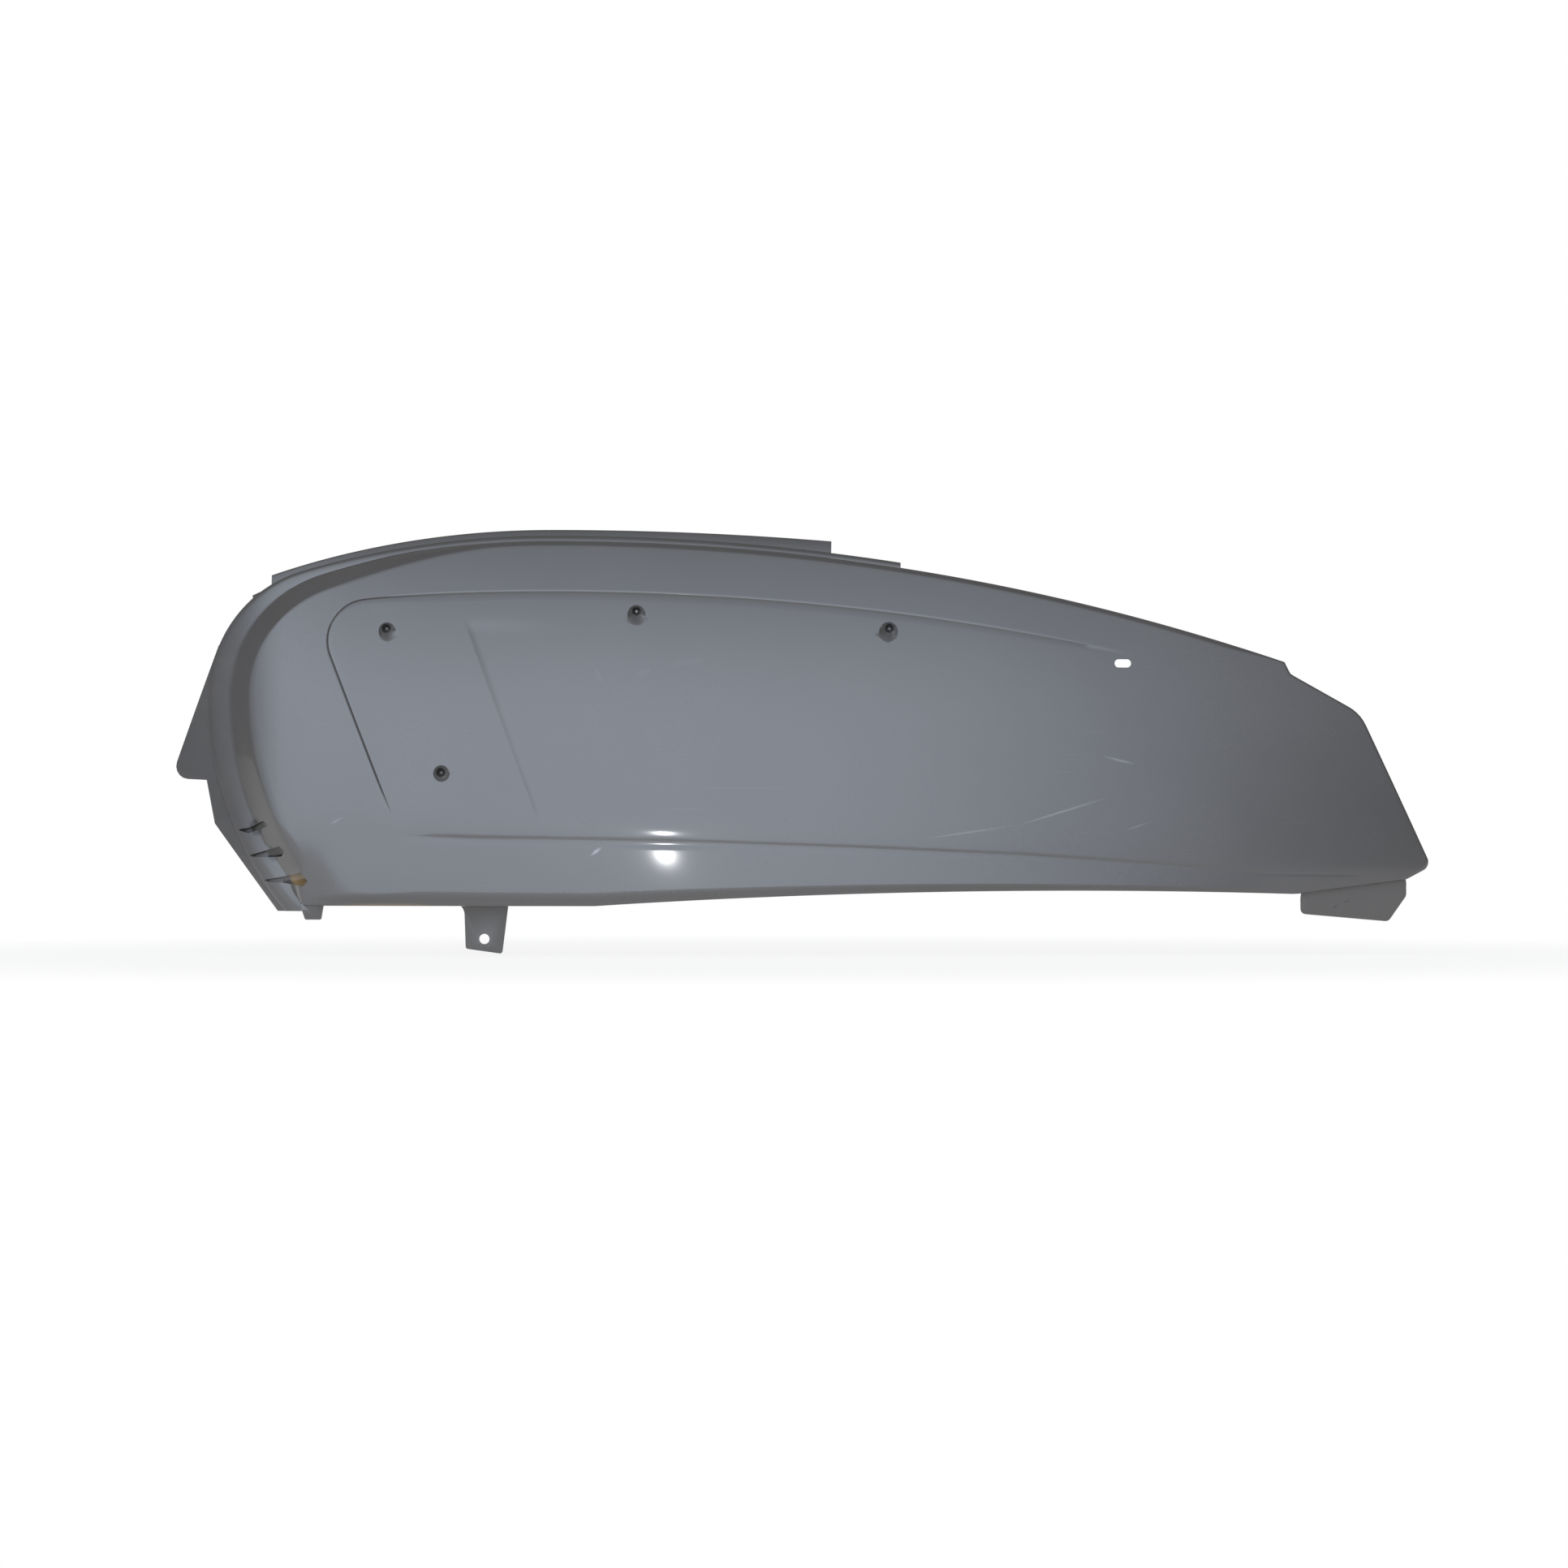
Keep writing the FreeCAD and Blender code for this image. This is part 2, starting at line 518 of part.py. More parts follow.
# Trim screws: bosses behind the skin with a rib on the upper ones, counterbores and holes
posts, sinks = [], []
SIDES = 8
for place in ("front", "mid", "rear", "low"):
    x, z = f"dims.screw_{place}_x", f"dims.screw_{place}_z"
    depth = skin_depth(x, z)
    turns = [f"{360 * (side + 0.5) / SIDES} deg" for side in range(SIDES)]
    boss_corners = [(f"{x} + dims.boss_radius * sin({turn})", f"{z} + dims.boss_radius * cos({turn})")
                    for turn in turns]
    boss_outline = profile(f"boss_outline_{place}", boss_corners)
    posts.append(prism(f"boss_{place}", boss_outline, "-dims.belly_out - 60", f"{depth} + dims.boss_depth"))
    sink_circle = circles(f"sink_circle_{place}", [(x, z)], "dims.sink_radius")
    sinks.append(prism(f"sink_{place}", sink_circle, "-dims.belly_out - 60", f"{depth} + dims.sink_depth"))
    if place == "low":
        continue
    rib_corners = [(f"{x} - dims.rib_width / 2", z), (f"{x} - dims.rib_width / 2", f"{z} + dims.rib_length"),
                   (f"{x} + dims.rib_width / 2", f"{z} + dims.rib_length"), (f"{x} + dims.rib_width / 2", z)]
    rib_outline = profile(f"rib_outline_{place}", rib_corners)
    posts.append(prism(f"rib_{place}", rib_outline, "-dims.belly_out - 60",
                       f"{depth} + dims.boss_depth - dims.rib_step"))
SCREWS = [(f"dims.screw_{place}_x", f"dims.screw_{place}_z") for place in ("front", "mid", "rear", "low")]
screw_holes = prism("screw_holes", circles("screw_circles", SCREWS, "dims.screw_radius"))
slot_half, slot_up = "(dims.slot_run / 2 + dims.screw_radius)", "dims.screw_radius"
slot_corners = [(f"dims.slot_x - {slot_half}", f"dims.slot_z + {slot_up}"),
                (f"dims.slot_x + {slot_half}", f"dims.slot_z + {slot_up}"),
                (f"dims.slot_x + {slot_half}", f"dims.slot_z - {slot_up}"),
                (f"dims.slot_x - {slot_half}", f"dims.slot_z - {slot_up}")]
trim_slot = rounded("trim_slot", prism("slot_prism", profile("slot_outline", slot_corners)),
                    [(*corner, "0.98 * dims.screw_radius") for corner in slot_corners])

# Gills: blind slots across the step at the chin, each with a wall behind it
gills, gill_backs = [], []
for index in range(int(number("dims.gill_count"))):
    x = f"dims.gill_low_x - {index} * dims.gill_shift"
    z = f"dims.gill_low_z + {index} * dims.gill_pitch"
    rear_x, rear_z = f"{x} + dims.gill_length", f"{z} + dims.gill_tilt"
    bottom = f"{skin_depth(x + ' + dims.gill_length / 2', z)} + dims.gill_depth"
    front_half, rear_half = "dims.gill_front_height / 2", "dims.gill_rear_height / 2"
    gill_outline = profile(f"gill_outline_{index}", [
        (x, f"{z} - {front_half}"), (x, f"{z} + {front_half}"),
        (rear_x, f"{rear_z} + {rear_half}"), (rear_x, f"{rear_z} - {rear_half}")])
    gills.append(prism(f"gill_{index}", gill_outline, "-dims.belly_out - 60", bottom))
    back_half = f"({rear_half} + dims.gill_back)"
    back_outline = profile(f"gill_back_outline_{index}", [
        (x, f"{rear_z} - {back_half}"), (x, f"{rear_z} + {back_half}"),
        (f"{rear_x} + dims.gill_back", f"{rear_z} + {back_half}"),
        (f"{rear_x} + dims.gill_back", f"{rear_z} - {back_half}")])
    gill_backs.append(prism(f"gill_back_{index}", back_outline, "-dims.belly_out - 60", f"{bottom} + dims.gill_back"))

# Lower fixing tab: a web from the bottom wall, a plate with a gusset and a hole
tab_top = "dims.sill_z + dims.web_step + dims.wall / 2"
tab_corners = [("-dims.tab_front - dims.gusset_run", tab_top), ("dims.tab_rear", tab_top),
               ("dims.tab_rear - dims.tab_taper", "-dims.tab_below_rear"),
               ("-dims.tab_front + 0.9", "-dims.tab_below_front"),
               ("-dims.tab_front + 0.3", f"{tab_top} - dims.gusset_run")]
tab_outline = profile("tab_outline", tab_corners, {4: ("dims.gusset_radius", LEFT)})
tab_plate = rounded("tab_plate", prism("tab_prism", tab_outline, "0", "dims.wall"),
                    [(*tab_corners[2], "dims.tab_radius"), (*tab_corners[3], "dims.tab_radius")])
web_outline = profile("web_outline", [
    ("-dims.tab_front - dims.gusset_run - 0.6", "dims.sill_z + dims.web_step"),
    ("-dims.tab_front - dims.gusset_run - 0.6", "dims.sill_z + dims.web_step + dims.wall"),
    ("dims.tab_rear + 0.6", "dims.sill_z + dims.web_step + dims.wall"),
    ("dims.tab_rear + 0.6", "dims.sill_z + dims.web_step")])
web_start = f"{skin_depth('0', 'dims.sill_z')} + dims.return_depth / 2"
tab_web = prism("tab_web", web_outline, web_start, "dims.wall - 0.4")
fixing_hole = prism("fixing_hole", circles("fixing_circle", [("0", "0")], "dims.fixing_radius"),
                    "-dims.belly_out", "dims.belly_out")

# Hook under the bottom edge
hook_high = "dims.sill_z + dims.wall / 2"
hook_rear = "-dims.hook_front + dims.hook_width"
hook_outline = profile("hook_outline", [
    ("-dims.hook_front", hook_high), (hook_rear, hook_high),
    (f"{hook_rear} - dims.hook_taper / 2", "dims.sill_z - dims.hook_drop"),
    ("-dims.hook_front + dims.hook_taper", "dims.sill_z - dims.hook_drop")])
hook = common("hook", layer("hook_layer", "dims.hook_start", "dims.hook_start + dims.hook_thick"),
              prism("hook_prism", hook_outline))

# Rear tab below the tail with a lip along its lower edge
tab_x = "dims.sill_rear_x + dims.rear_tab_gap"
tab_low = "form.sill_rear_z - dims.rear_tab_low"
tab_end_x, tab_end_z = f"{tab_x} + dims.rear_tab_run", f"{tab_low} - dims.rear_tab_fall"
slope = "dims.heel_lift / dims.heel_run"
rear_corners = [
    (tab_x, f"form.sill_rear_z + dims.wall / 2 + dims.rear_tab_gap * {slope}"),
    ("form.heel_x - 0.5", "form.heel_z + dims.wall / 2"),
    (f"{tab_end_x} + dims.rear_tab_flare", f"{tab_end_z} + dims.rear_tab_side"),
    (tab_end_x, tab_end_z), (tab_x, tab_low)]
rear_outline = profile("rear_tab_outline", rear_corners)
rear_block = rounded("rear_tab_block", prism("rear_tab_prism", rear_outline),
                     [(*corner, "dims.rear_tab_radius") for corner in rear_corners[2:]])
rear_tab = common("rear_tab", layer("rear_tab_layer", "dims.rear_tab_drop", "dims.rear_tab_drop + dims.wall"),
                  rear_block)
lip_in = "dims.rear_tab_radius"
lip_outline = profile("rear_lip_outline", [
    (f"{tab_x} + {lip_in}", f"{tab_low} + 0.2"), (f"{tab_x} + {lip_in}", f"{tab_low} + dims.rear_lip_height"),
    (f"{tab_end_x} - {lip_in}", f"{tab_end_z} + dims.rear_lip_height + 0.3"),
    (f"{tab_end_x} - {lip_in}", f"{tab_end_z} + 0.5")])
rear_lip = common("rear_lip", layer("rear_lip_layer", "dims.rear_tab_drop + dims.wall / 2", "dims.rear_lip_depth"),
                  prism("rear_lip_prism", lip_outline))

# One moulding: the edges are joined to the seated skin, the hollow leaves posts standing, holes are cut
seated = cut("seated", skin_round, fuse("seat_pockets", [seat_pocket, field_pocket]))
outside = fuse("outside", [seated, rim, wing, top_flange, hook, rear_tab, rear_lip, tab_plate, tab_web])
hollow = cut("hollow", hollow_block, fuse("standing", [*gill_backs, *posts]))
shell = cut("shell", outside, hollow)
openings = fuse("openings", [*sinks, screw_holes, trim_slot, *gills, fixing_hole])
panel = cut("side_panel", shell, openings)
panel.Label = "side_panel"
doc.recompute()

# Check every object, then write the part
for item in doc.Objects:
    bad = [word for word in item.State if word in ("Invalid", "Error")]
    shape = getattr(item, "Shape", None)
    if bad or (shape is not None and (shape.isNull() or not shape.isValid())):
        raise RuntimeError(f"{item.Name} did not build: {item.State}")
if len(panel.Shape.Solids) != 1:
    raise RuntimeError(f"the panel is {len(panel.Shape.Solids)} solids")
os.makedirs("parts", exist_ok=True)
panel.Shape.Solids[0].exportStep("parts/side_panel.step")
print("side_panel", panel.Shape.BoundBox, round(panel.Shape.Volume), len(panel.Shape.Faces))
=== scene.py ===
# %% [markdown]
# # A scooter's rear side panel
# The part is one moulding of glossy plastic: a bowed skin, a lip set back round its nose, flanges that
# slide behind other covers, and a few tabs. The frame below holds the CAD solid in metres. This lesson
# builds a smooth, finely divided copy of it, gives it its plastic finish and lights it like a studio photo.

# %% Load the fixed frame
import bisect
import bmesh
import bpy
import json
import math
from mathutils import Matrix, Vector

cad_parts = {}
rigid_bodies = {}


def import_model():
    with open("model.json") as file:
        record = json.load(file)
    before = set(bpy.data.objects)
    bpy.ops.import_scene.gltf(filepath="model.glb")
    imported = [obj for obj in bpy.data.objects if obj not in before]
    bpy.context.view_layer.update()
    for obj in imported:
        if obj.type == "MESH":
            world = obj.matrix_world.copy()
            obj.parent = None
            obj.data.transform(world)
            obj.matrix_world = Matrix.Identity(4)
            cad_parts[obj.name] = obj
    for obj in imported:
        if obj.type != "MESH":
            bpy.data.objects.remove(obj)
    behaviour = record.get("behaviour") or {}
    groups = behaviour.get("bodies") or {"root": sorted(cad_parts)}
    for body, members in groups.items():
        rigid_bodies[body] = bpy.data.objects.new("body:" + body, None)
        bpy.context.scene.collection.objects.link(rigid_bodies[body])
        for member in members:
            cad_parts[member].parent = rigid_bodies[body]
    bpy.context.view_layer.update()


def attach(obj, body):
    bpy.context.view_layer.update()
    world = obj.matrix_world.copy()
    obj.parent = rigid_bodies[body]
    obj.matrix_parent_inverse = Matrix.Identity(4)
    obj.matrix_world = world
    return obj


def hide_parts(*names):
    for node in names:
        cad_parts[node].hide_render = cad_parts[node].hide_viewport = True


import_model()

MM = 0.001

# %% [markdown]
# ## The bow of the skin
# Seen from above and from the end, the skin is a shallow bow, and towards the nose it rolls in faster.
# A sculpted mesh could follow it, but one small formula gives every point its depth, so all pieces that
# follow the skin, the lip and the flanges too, agree with each other and with the CAD solid.

# %% Depth of the skin
WALL, RETURN = 2.8, 15.2
FULLEST_X, FULLEST_Y = 110, -23
BOW_ALONG, BOW_UP, BOW_DOWN = 2500, 690, 2400
ROLL_START, ROLL = -70, 380


def skin_depth(x, z):
    fullest_z = 56 - 20 * (x + 193.4) / 729.9
    roll = max(0, ROLL_START - x)
    fall = BOW_UP if z > fullest_z else BOW_DOWN
    return FULLEST_Y + (x - FULLEST_X) ** 2 / BOW_ALONG + roll ** 2 / ROLL + (z - fullest_z) ** 2 / fall


def on_skin(flat, below=0.0):
    return Vector((flat.x, skin_depth(flat.x, flat.y) + below, flat.y)) * MM


def ease(low, high, value):
    share = min(max((value - low) / (high - low), 0), 1)
    return share * share * (3 - 2 * share)


print("skin at the fixing hole", round(skin_depth(0, 0), 1), "mm")

# %% [markdown]
# ## Guide lines
# The outline is a chain of arcs and straight runs in the front view. A Blender curve could hold it, but
# here each guide is walked by its length, which makes it easy to place two guides' points opposite each
# other, and so to let the mesh run along the edges of the real moulding.


# %% A guide line
class Guide:
    def __init__(self, points, closed=False):
        self.points = [Vector(points[0])]
        for point in points[1:]:
            if (Vector(point) - self.points[-1]).length > 1e-3:
                self.points.append(Vector(point))
        self.closed = closed
        self.marks = [0.0]
        for first, second in zip(self.points, self.points[1:]):
            self.marks.append(self.marks[-1] + (second - first).length)
        self.length = self.marks[-1]

    def at(self, mark):
        mark = mark % self.length if self.closed else min(max(mark, 0), self.length)
        index = min(max(bisect.bisect_right(self.marks, mark), 1), len(self.marks) - 1)
        before, after = self.marks[index - 1], self.marks[index]
        return self.points[index - 1].lerp(self.points[index], (mark - before) / (after - before))

    def outward(self, mark, reach=0.7):
        run = self.at(mark + reach) - self.at(mark - reach)
        return Vector((-run.y, run.x)).normalized()

    def near(self, x, z):
        goal, best = Vector((x, z)), (1e9, 0.0)
        for first, second, mark in zip(self.points, self.points[1:], self.marks):
            run = second - first
            share = min(max((goal - first).dot(run) / run.length_squared, 0), 1)
            best = min(best, ((first + run * share - goal).length, mark + run.length * share))
        return best[1]


def arc(centre, radius, start, finish, step=1.0):
    count = max(3, math.ceil(abs(math.radians(finish - start)) * radius / step))
    turns = [math.radians(start + (finish - start) * index / count) for index in range(count + 1)]
    return [Vector((centre[0] + radius * math.cos(turn), centre[1] + radius * math.sin(turn)))
            for turn in turns]


def bow(start, finish, radius, count=80):
    start, finish = Vector(start), Vector(finish)
    run = finish - start
    aside = Vector((run.y, -run.x)).normalized() * (1 if run.x > 0 else -1)
    centre = (start + finish) / 2 + aside * math.sqrt(radius ** 2 - run.length_squared / 4)
    places = [start.lerp(finish, index / count) - centre for index in range(count + 1)]
    return [centre + place.normalized() * radius for place in places]


def rounded(before, corner, after, radius, count=10):
    before, corner, after = Vector(before), Vector(corner), Vector(after)
    first, second = (before - corner).normalized(), (after - corner).normalized()
    half = first.angle(second) / 2
    centre = corner + (first + second).normalized() * radius / math.sin(half)
    start = corner + first * radius / math.tan(half) - centre
    finish = corner + second * radius / math.tan(half) - centre
    return [centre + start.lerp(finish, index / count).normalized() * radius for index in range(count + 1)]


# %% Chain of arcs from the chin to the top
CHIN_X, NOSE_Z, BROW_X, TOP_RADIUS = 30, 133, 34, 1260


def front_arcs(low_z, chin, nose_centre, nose, brow, crown, last_x):
    joint = 90 + math.degrees(math.asin((BROW_X - nose_centre) / (brow - nose)))
    foot = 180 + math.degrees(math.asin((NOSE_Z - low_z) / chin))
    last = 90 - math.degrees(math.asin((last_x - BROW_X) / TOP_RADIUS))
    return [*arc((CHIN_X, NOSE_Z), chin, foot, 180), *arc((nose_centre, NOSE_Z), nose, 180, joint),
            *arc((BROW_X, crown - brow), brow, joint, 90),
            *arc((BROW_X, crown - TOP_RADIUS), TOP_RADIUS, 90, last)]


# %% Outline of the skin
CHIN_RADIUS, SILL_RADIUS = 172, 3900
STEP_TOP, STEP_LOW, SHOULDER = (436, 150.7), (439, 144.2), (477.6, 122.7)
TAIL, HEEL, SILL_REAR, SILL_BEND = (516.5, 39), (503, 32), (441, 24), (60, 18)
skin_arcs = front_arcs(18, CHIN_RADIUS, -72, 70, 492.9, 216.5, 436)
CORNER = tuple(skin_arcs[0])
edge = Guide([
    *skin_arcs, *rounded(STEP_TOP, STEP_LOW, SHOULDER, 3), *rounded(STEP_LOW, SHOULDER, TAIL, 22),
    *rounded(SHOULDER, TAIL, HEEL, 5), *rounded(TAIL, HEEL, SILL_REAR, 1.5),
    *bow(SILL_REAR, SILL_BEND, SILL_RADIUS), CORNER], closed=True)
print("outline", round(edge.length), "mm round")

# %% [markdown]
# ## Lines inside the skin
# A trim strip lies in a shallow seat in the skin. Its front edge leans, turns over a round corner and runs
# back under the top edge. A second leaning line and a soft crease above the bottom edge divide the seat.
# The mesh is laid out in blocks between these lines, so that each step follows a row of faces and stays crisp.

# %% Seat and crease lines
SEAT_TOP, SEAT_REAR, SEAT_END = (-94.6, 182.3), (357, 153.5), (487.2, 102)
CREASE = [(-3, 53.6), (111, 51.4), (204, 48.2), (290, 44.4), (364, 39.4), (425, 34.6)]
HEEL_SIDE, CREASE_START = (506, 33.6), 55.2
SEAT_LEAN, FIELD_LEAN, FIELD_TOP = 0.39, 0.3736, (-9.7, 169.4)


def lean_x(z):
    return SEAT_TOP[0] + SEAT_LEAN * (SEAT_TOP[1] - z)


def field_x(z):
    return FIELD_TOP[0] + FIELD_LEAN * (FIELD_TOP[1] - z)


seat_bow = bow(SEAT_TOP, SEAT_REAR, 1550)
seat_corner = rounded((lean_x(110), 110), SEAT_TOP, seat_bow[8], 22, 16)
seat_top_line = Guide([seat_corner[-1], *[point for point in seat_bow if point.x > seat_corner[-1].x + 1]])
crease_start = (lean_x(CREASE_START), CREASE_START)
crease = Guide([crease_start, *CREASE, HEEL_SIDE])
print("seat line", round(seat_top_line.length), "mm along its top")

# %% [markdown]
# ## Turned-down edge and return wall
# At the nose the skin drops over a long slope to the lip, along the top it is rounded, and along the bottom and
# the tail its edge is hardly broken. Behind it a wall turns in, except at the tail. A Bevel modifier has one
# width for all its edges, so the edge is drawn instead as a section that changes along the way.

# %% Widths along the edge
EDGE_BROKEN, EDGE_ROUND, SLOPE_WIDTH, SLOPE_DROP, SOFT = 1.2, 3.2, 10.6, 10.5, 0.12


def slope_share(mark):
    place = edge.at(mark)
    return (1 - ease(-128, 16, place.x)) * ease(17, 34, place.y)


def edge_width(mark):
    place = edge.at(mark)
    plain = EDGE_ROUND * (place.y > 60 or place.x < -60)
    rounding = max(plain - EDGE_BROKEN, 0) * (1 - ease(400, 432, place.x)) * ease(17, 34, place.y)
    return EDGE_BROKEN + rounding + SLOPE_WIDTH * slope_share(mark)


def wall_share(mark):
    place = edge.at(mark)
    behind = ease(414, 418, place.x) if place.y > 60 else 0
    at_tail = 1 if place.x > 425 and place.y > 33.4 else 0
    at_heel = ease(499, 503.5, place.x)
    return 1 - max(behind, at_tail, at_heel)


def ramp_down(part):
    return (math.sqrt(max(part, 0) ** 2 + SOFT ** 2) - SOFT) / (math.sqrt(1 + SOFT ** 2) - SOFT)


# %% Section of the edge
def edge_section(mark):
    width, slope, share = edge_width(mark), slope_share(mark), wall_share(mark)
    back = WALL + (RETURN - WALL) * share
    inner = 1.1 + (WALL - 1.1) * share
    drop = width + (SLOPE_DROP - width) * slope
    section = []
    for part in (0, 0.05, 0.1, 0.16, 0.23, 0.32, 0.44, 0.6, 0.78, 0.9, 1):
        turn = math.pi / 2 * part
        inset = 1 - math.sin(turn) + (math.sin(turn) - part) * slope
        below = 1 - math.cos(turn) + (ramp_down(part) - 1 + math.cos(turn)) * slope
        section.append((width * inset, drop * below))
    section += [(0, drop + (back - 0.5 - drop) * part) for part in (0.3, 0.6, 1)]
    section += [(0.15, back - 0.15), (0.5, back), (inner - 0.4, back), (inner, back - 0.3 * share)]
    fold = inner + 0.3 * (1 - share)
    reach = 1.2 + slope * width
    turned = [(fold - 0.15 * (1 - share), 5 * share), (fold, 1.5 * share), (fold + 0.45, 0.45 * share)]
    turned += [(fold + 1.5 + reach * part, 0) for part in (0, 0.2, 0.4, 0.6, 0.8, 1)]
    for inset, below in turned:
        sloped = (drop + 0.8) * slope * ramp_down(1 - inset / width)
        section.append((inset, WALL + below * (1 - 0.6 * slope) + sloped))
    return section


def face_point(mark, step=0):
    inset = edge_section(mark)[step][0]
    return edge.at(mark) - edge.outward(mark) * inset


LOOKED_AT = ((-152, 133), (34, 220), (300, 190))
print("edge widths", [round(edge_width(edge.near(*place)), 1) for place in LOOKED_AT])

# %% [markdown]
# ## From guides to a mesh
# Every patch starts as Blender's own grid. Each of its points is then moved to its place between the guides.
# Patches that share a guide share its points too, so merging doubles at the end sews them into one sheet.


# %% Grid helper
def sheet(mesh, rows):
    across, along = len(rows[0]) - 1, len(rows) - 1
    for vert in bmesh.ops.create_grid(mesh, x_segments=across, y_segments=along, size=1)["verts"]:
        column = round((vert.co.x + 1) / 2 * across)
        row = round((vert.co.y + 1) / 2 * along)
        vert.co = rows[row][column]


def shares(count):
    return [index / count for index in range(count + 1)]


def spread(marks):
    return [(mark - marks[0]) / (marks[-1] - marks[0]) for mark in marks]


def between(guide, start, finish, parts):
    return [guide.at(start + (finish - start) * part) for part in parts]


def coons(bottom, top, left, right):
    rows = []
    for row, (west, east) in enumerate(zip(left, right)):
        up = row / (len(left) - 1)
        line = []
        for column, (low, high) in enumerate(zip(bottom, top)):
            over = column / (len(bottom) - 1)
            flat = low.lerp(high, up) + west.lerp(east, over)
            flat -= bottom[0].lerp(bottom[-1], over).lerp(top[0].lerp(top[-1], over), up)
            line.append(flat)
        rows.append(line)
    return rows


# %% [markdown]
# ## Blocks of the face
# A band follows the outline from the chin round the nose and along the top. Inside it lie four blocks: the
# front field of the seat, the rest of the seat, and the two pieces below the crease. The same layout is
# used twice, for the outer face with its steps and for the plain inner face, which sits a wall's thickness in.

# %% Layout of the blocks
PAIRS = [((-107.6, 31), (lean_x(54.3), 54.3)), ((-108.5, 32), crease_start),
         ((-109.4, 33), (lean_x(56.1), 56.1)), ((-137.6, 94.5), (lean_x(120), 120)),
         ((-140, 139), (lean_x(157), 157)), ((-125.6, 178), (-88.3, 176.5)), ((-89.5, 200.8), (-66, 184)),
         ((-26, 212.9), (field_x(186.2) - 0.9, 186.2)), ((-25, 213), (field_x(186.2), 186.2)),
         ((-24, 213.1), (field_x(186.2) + 0.9, 186.2)), ((34, 216.5), (30, 187)), ((208, 204.4), (200, 178.5)),
         ((366, 171.9), SEAT_REAR), (STEP_TOP, (423, 127.4)), (STEP_LOW, (429, 125)), ((463, 131), (460, 112.8))]
SEAT_STEP = (0, 0.35, 0.7, 1.05, 1.4, 2.2)
BAND_ROWS = 13
CREASE_KEY, CORNER_KEY, FIELD_KEY = 2, 6, 9
FINE, COARSE = 2.6, 3.6


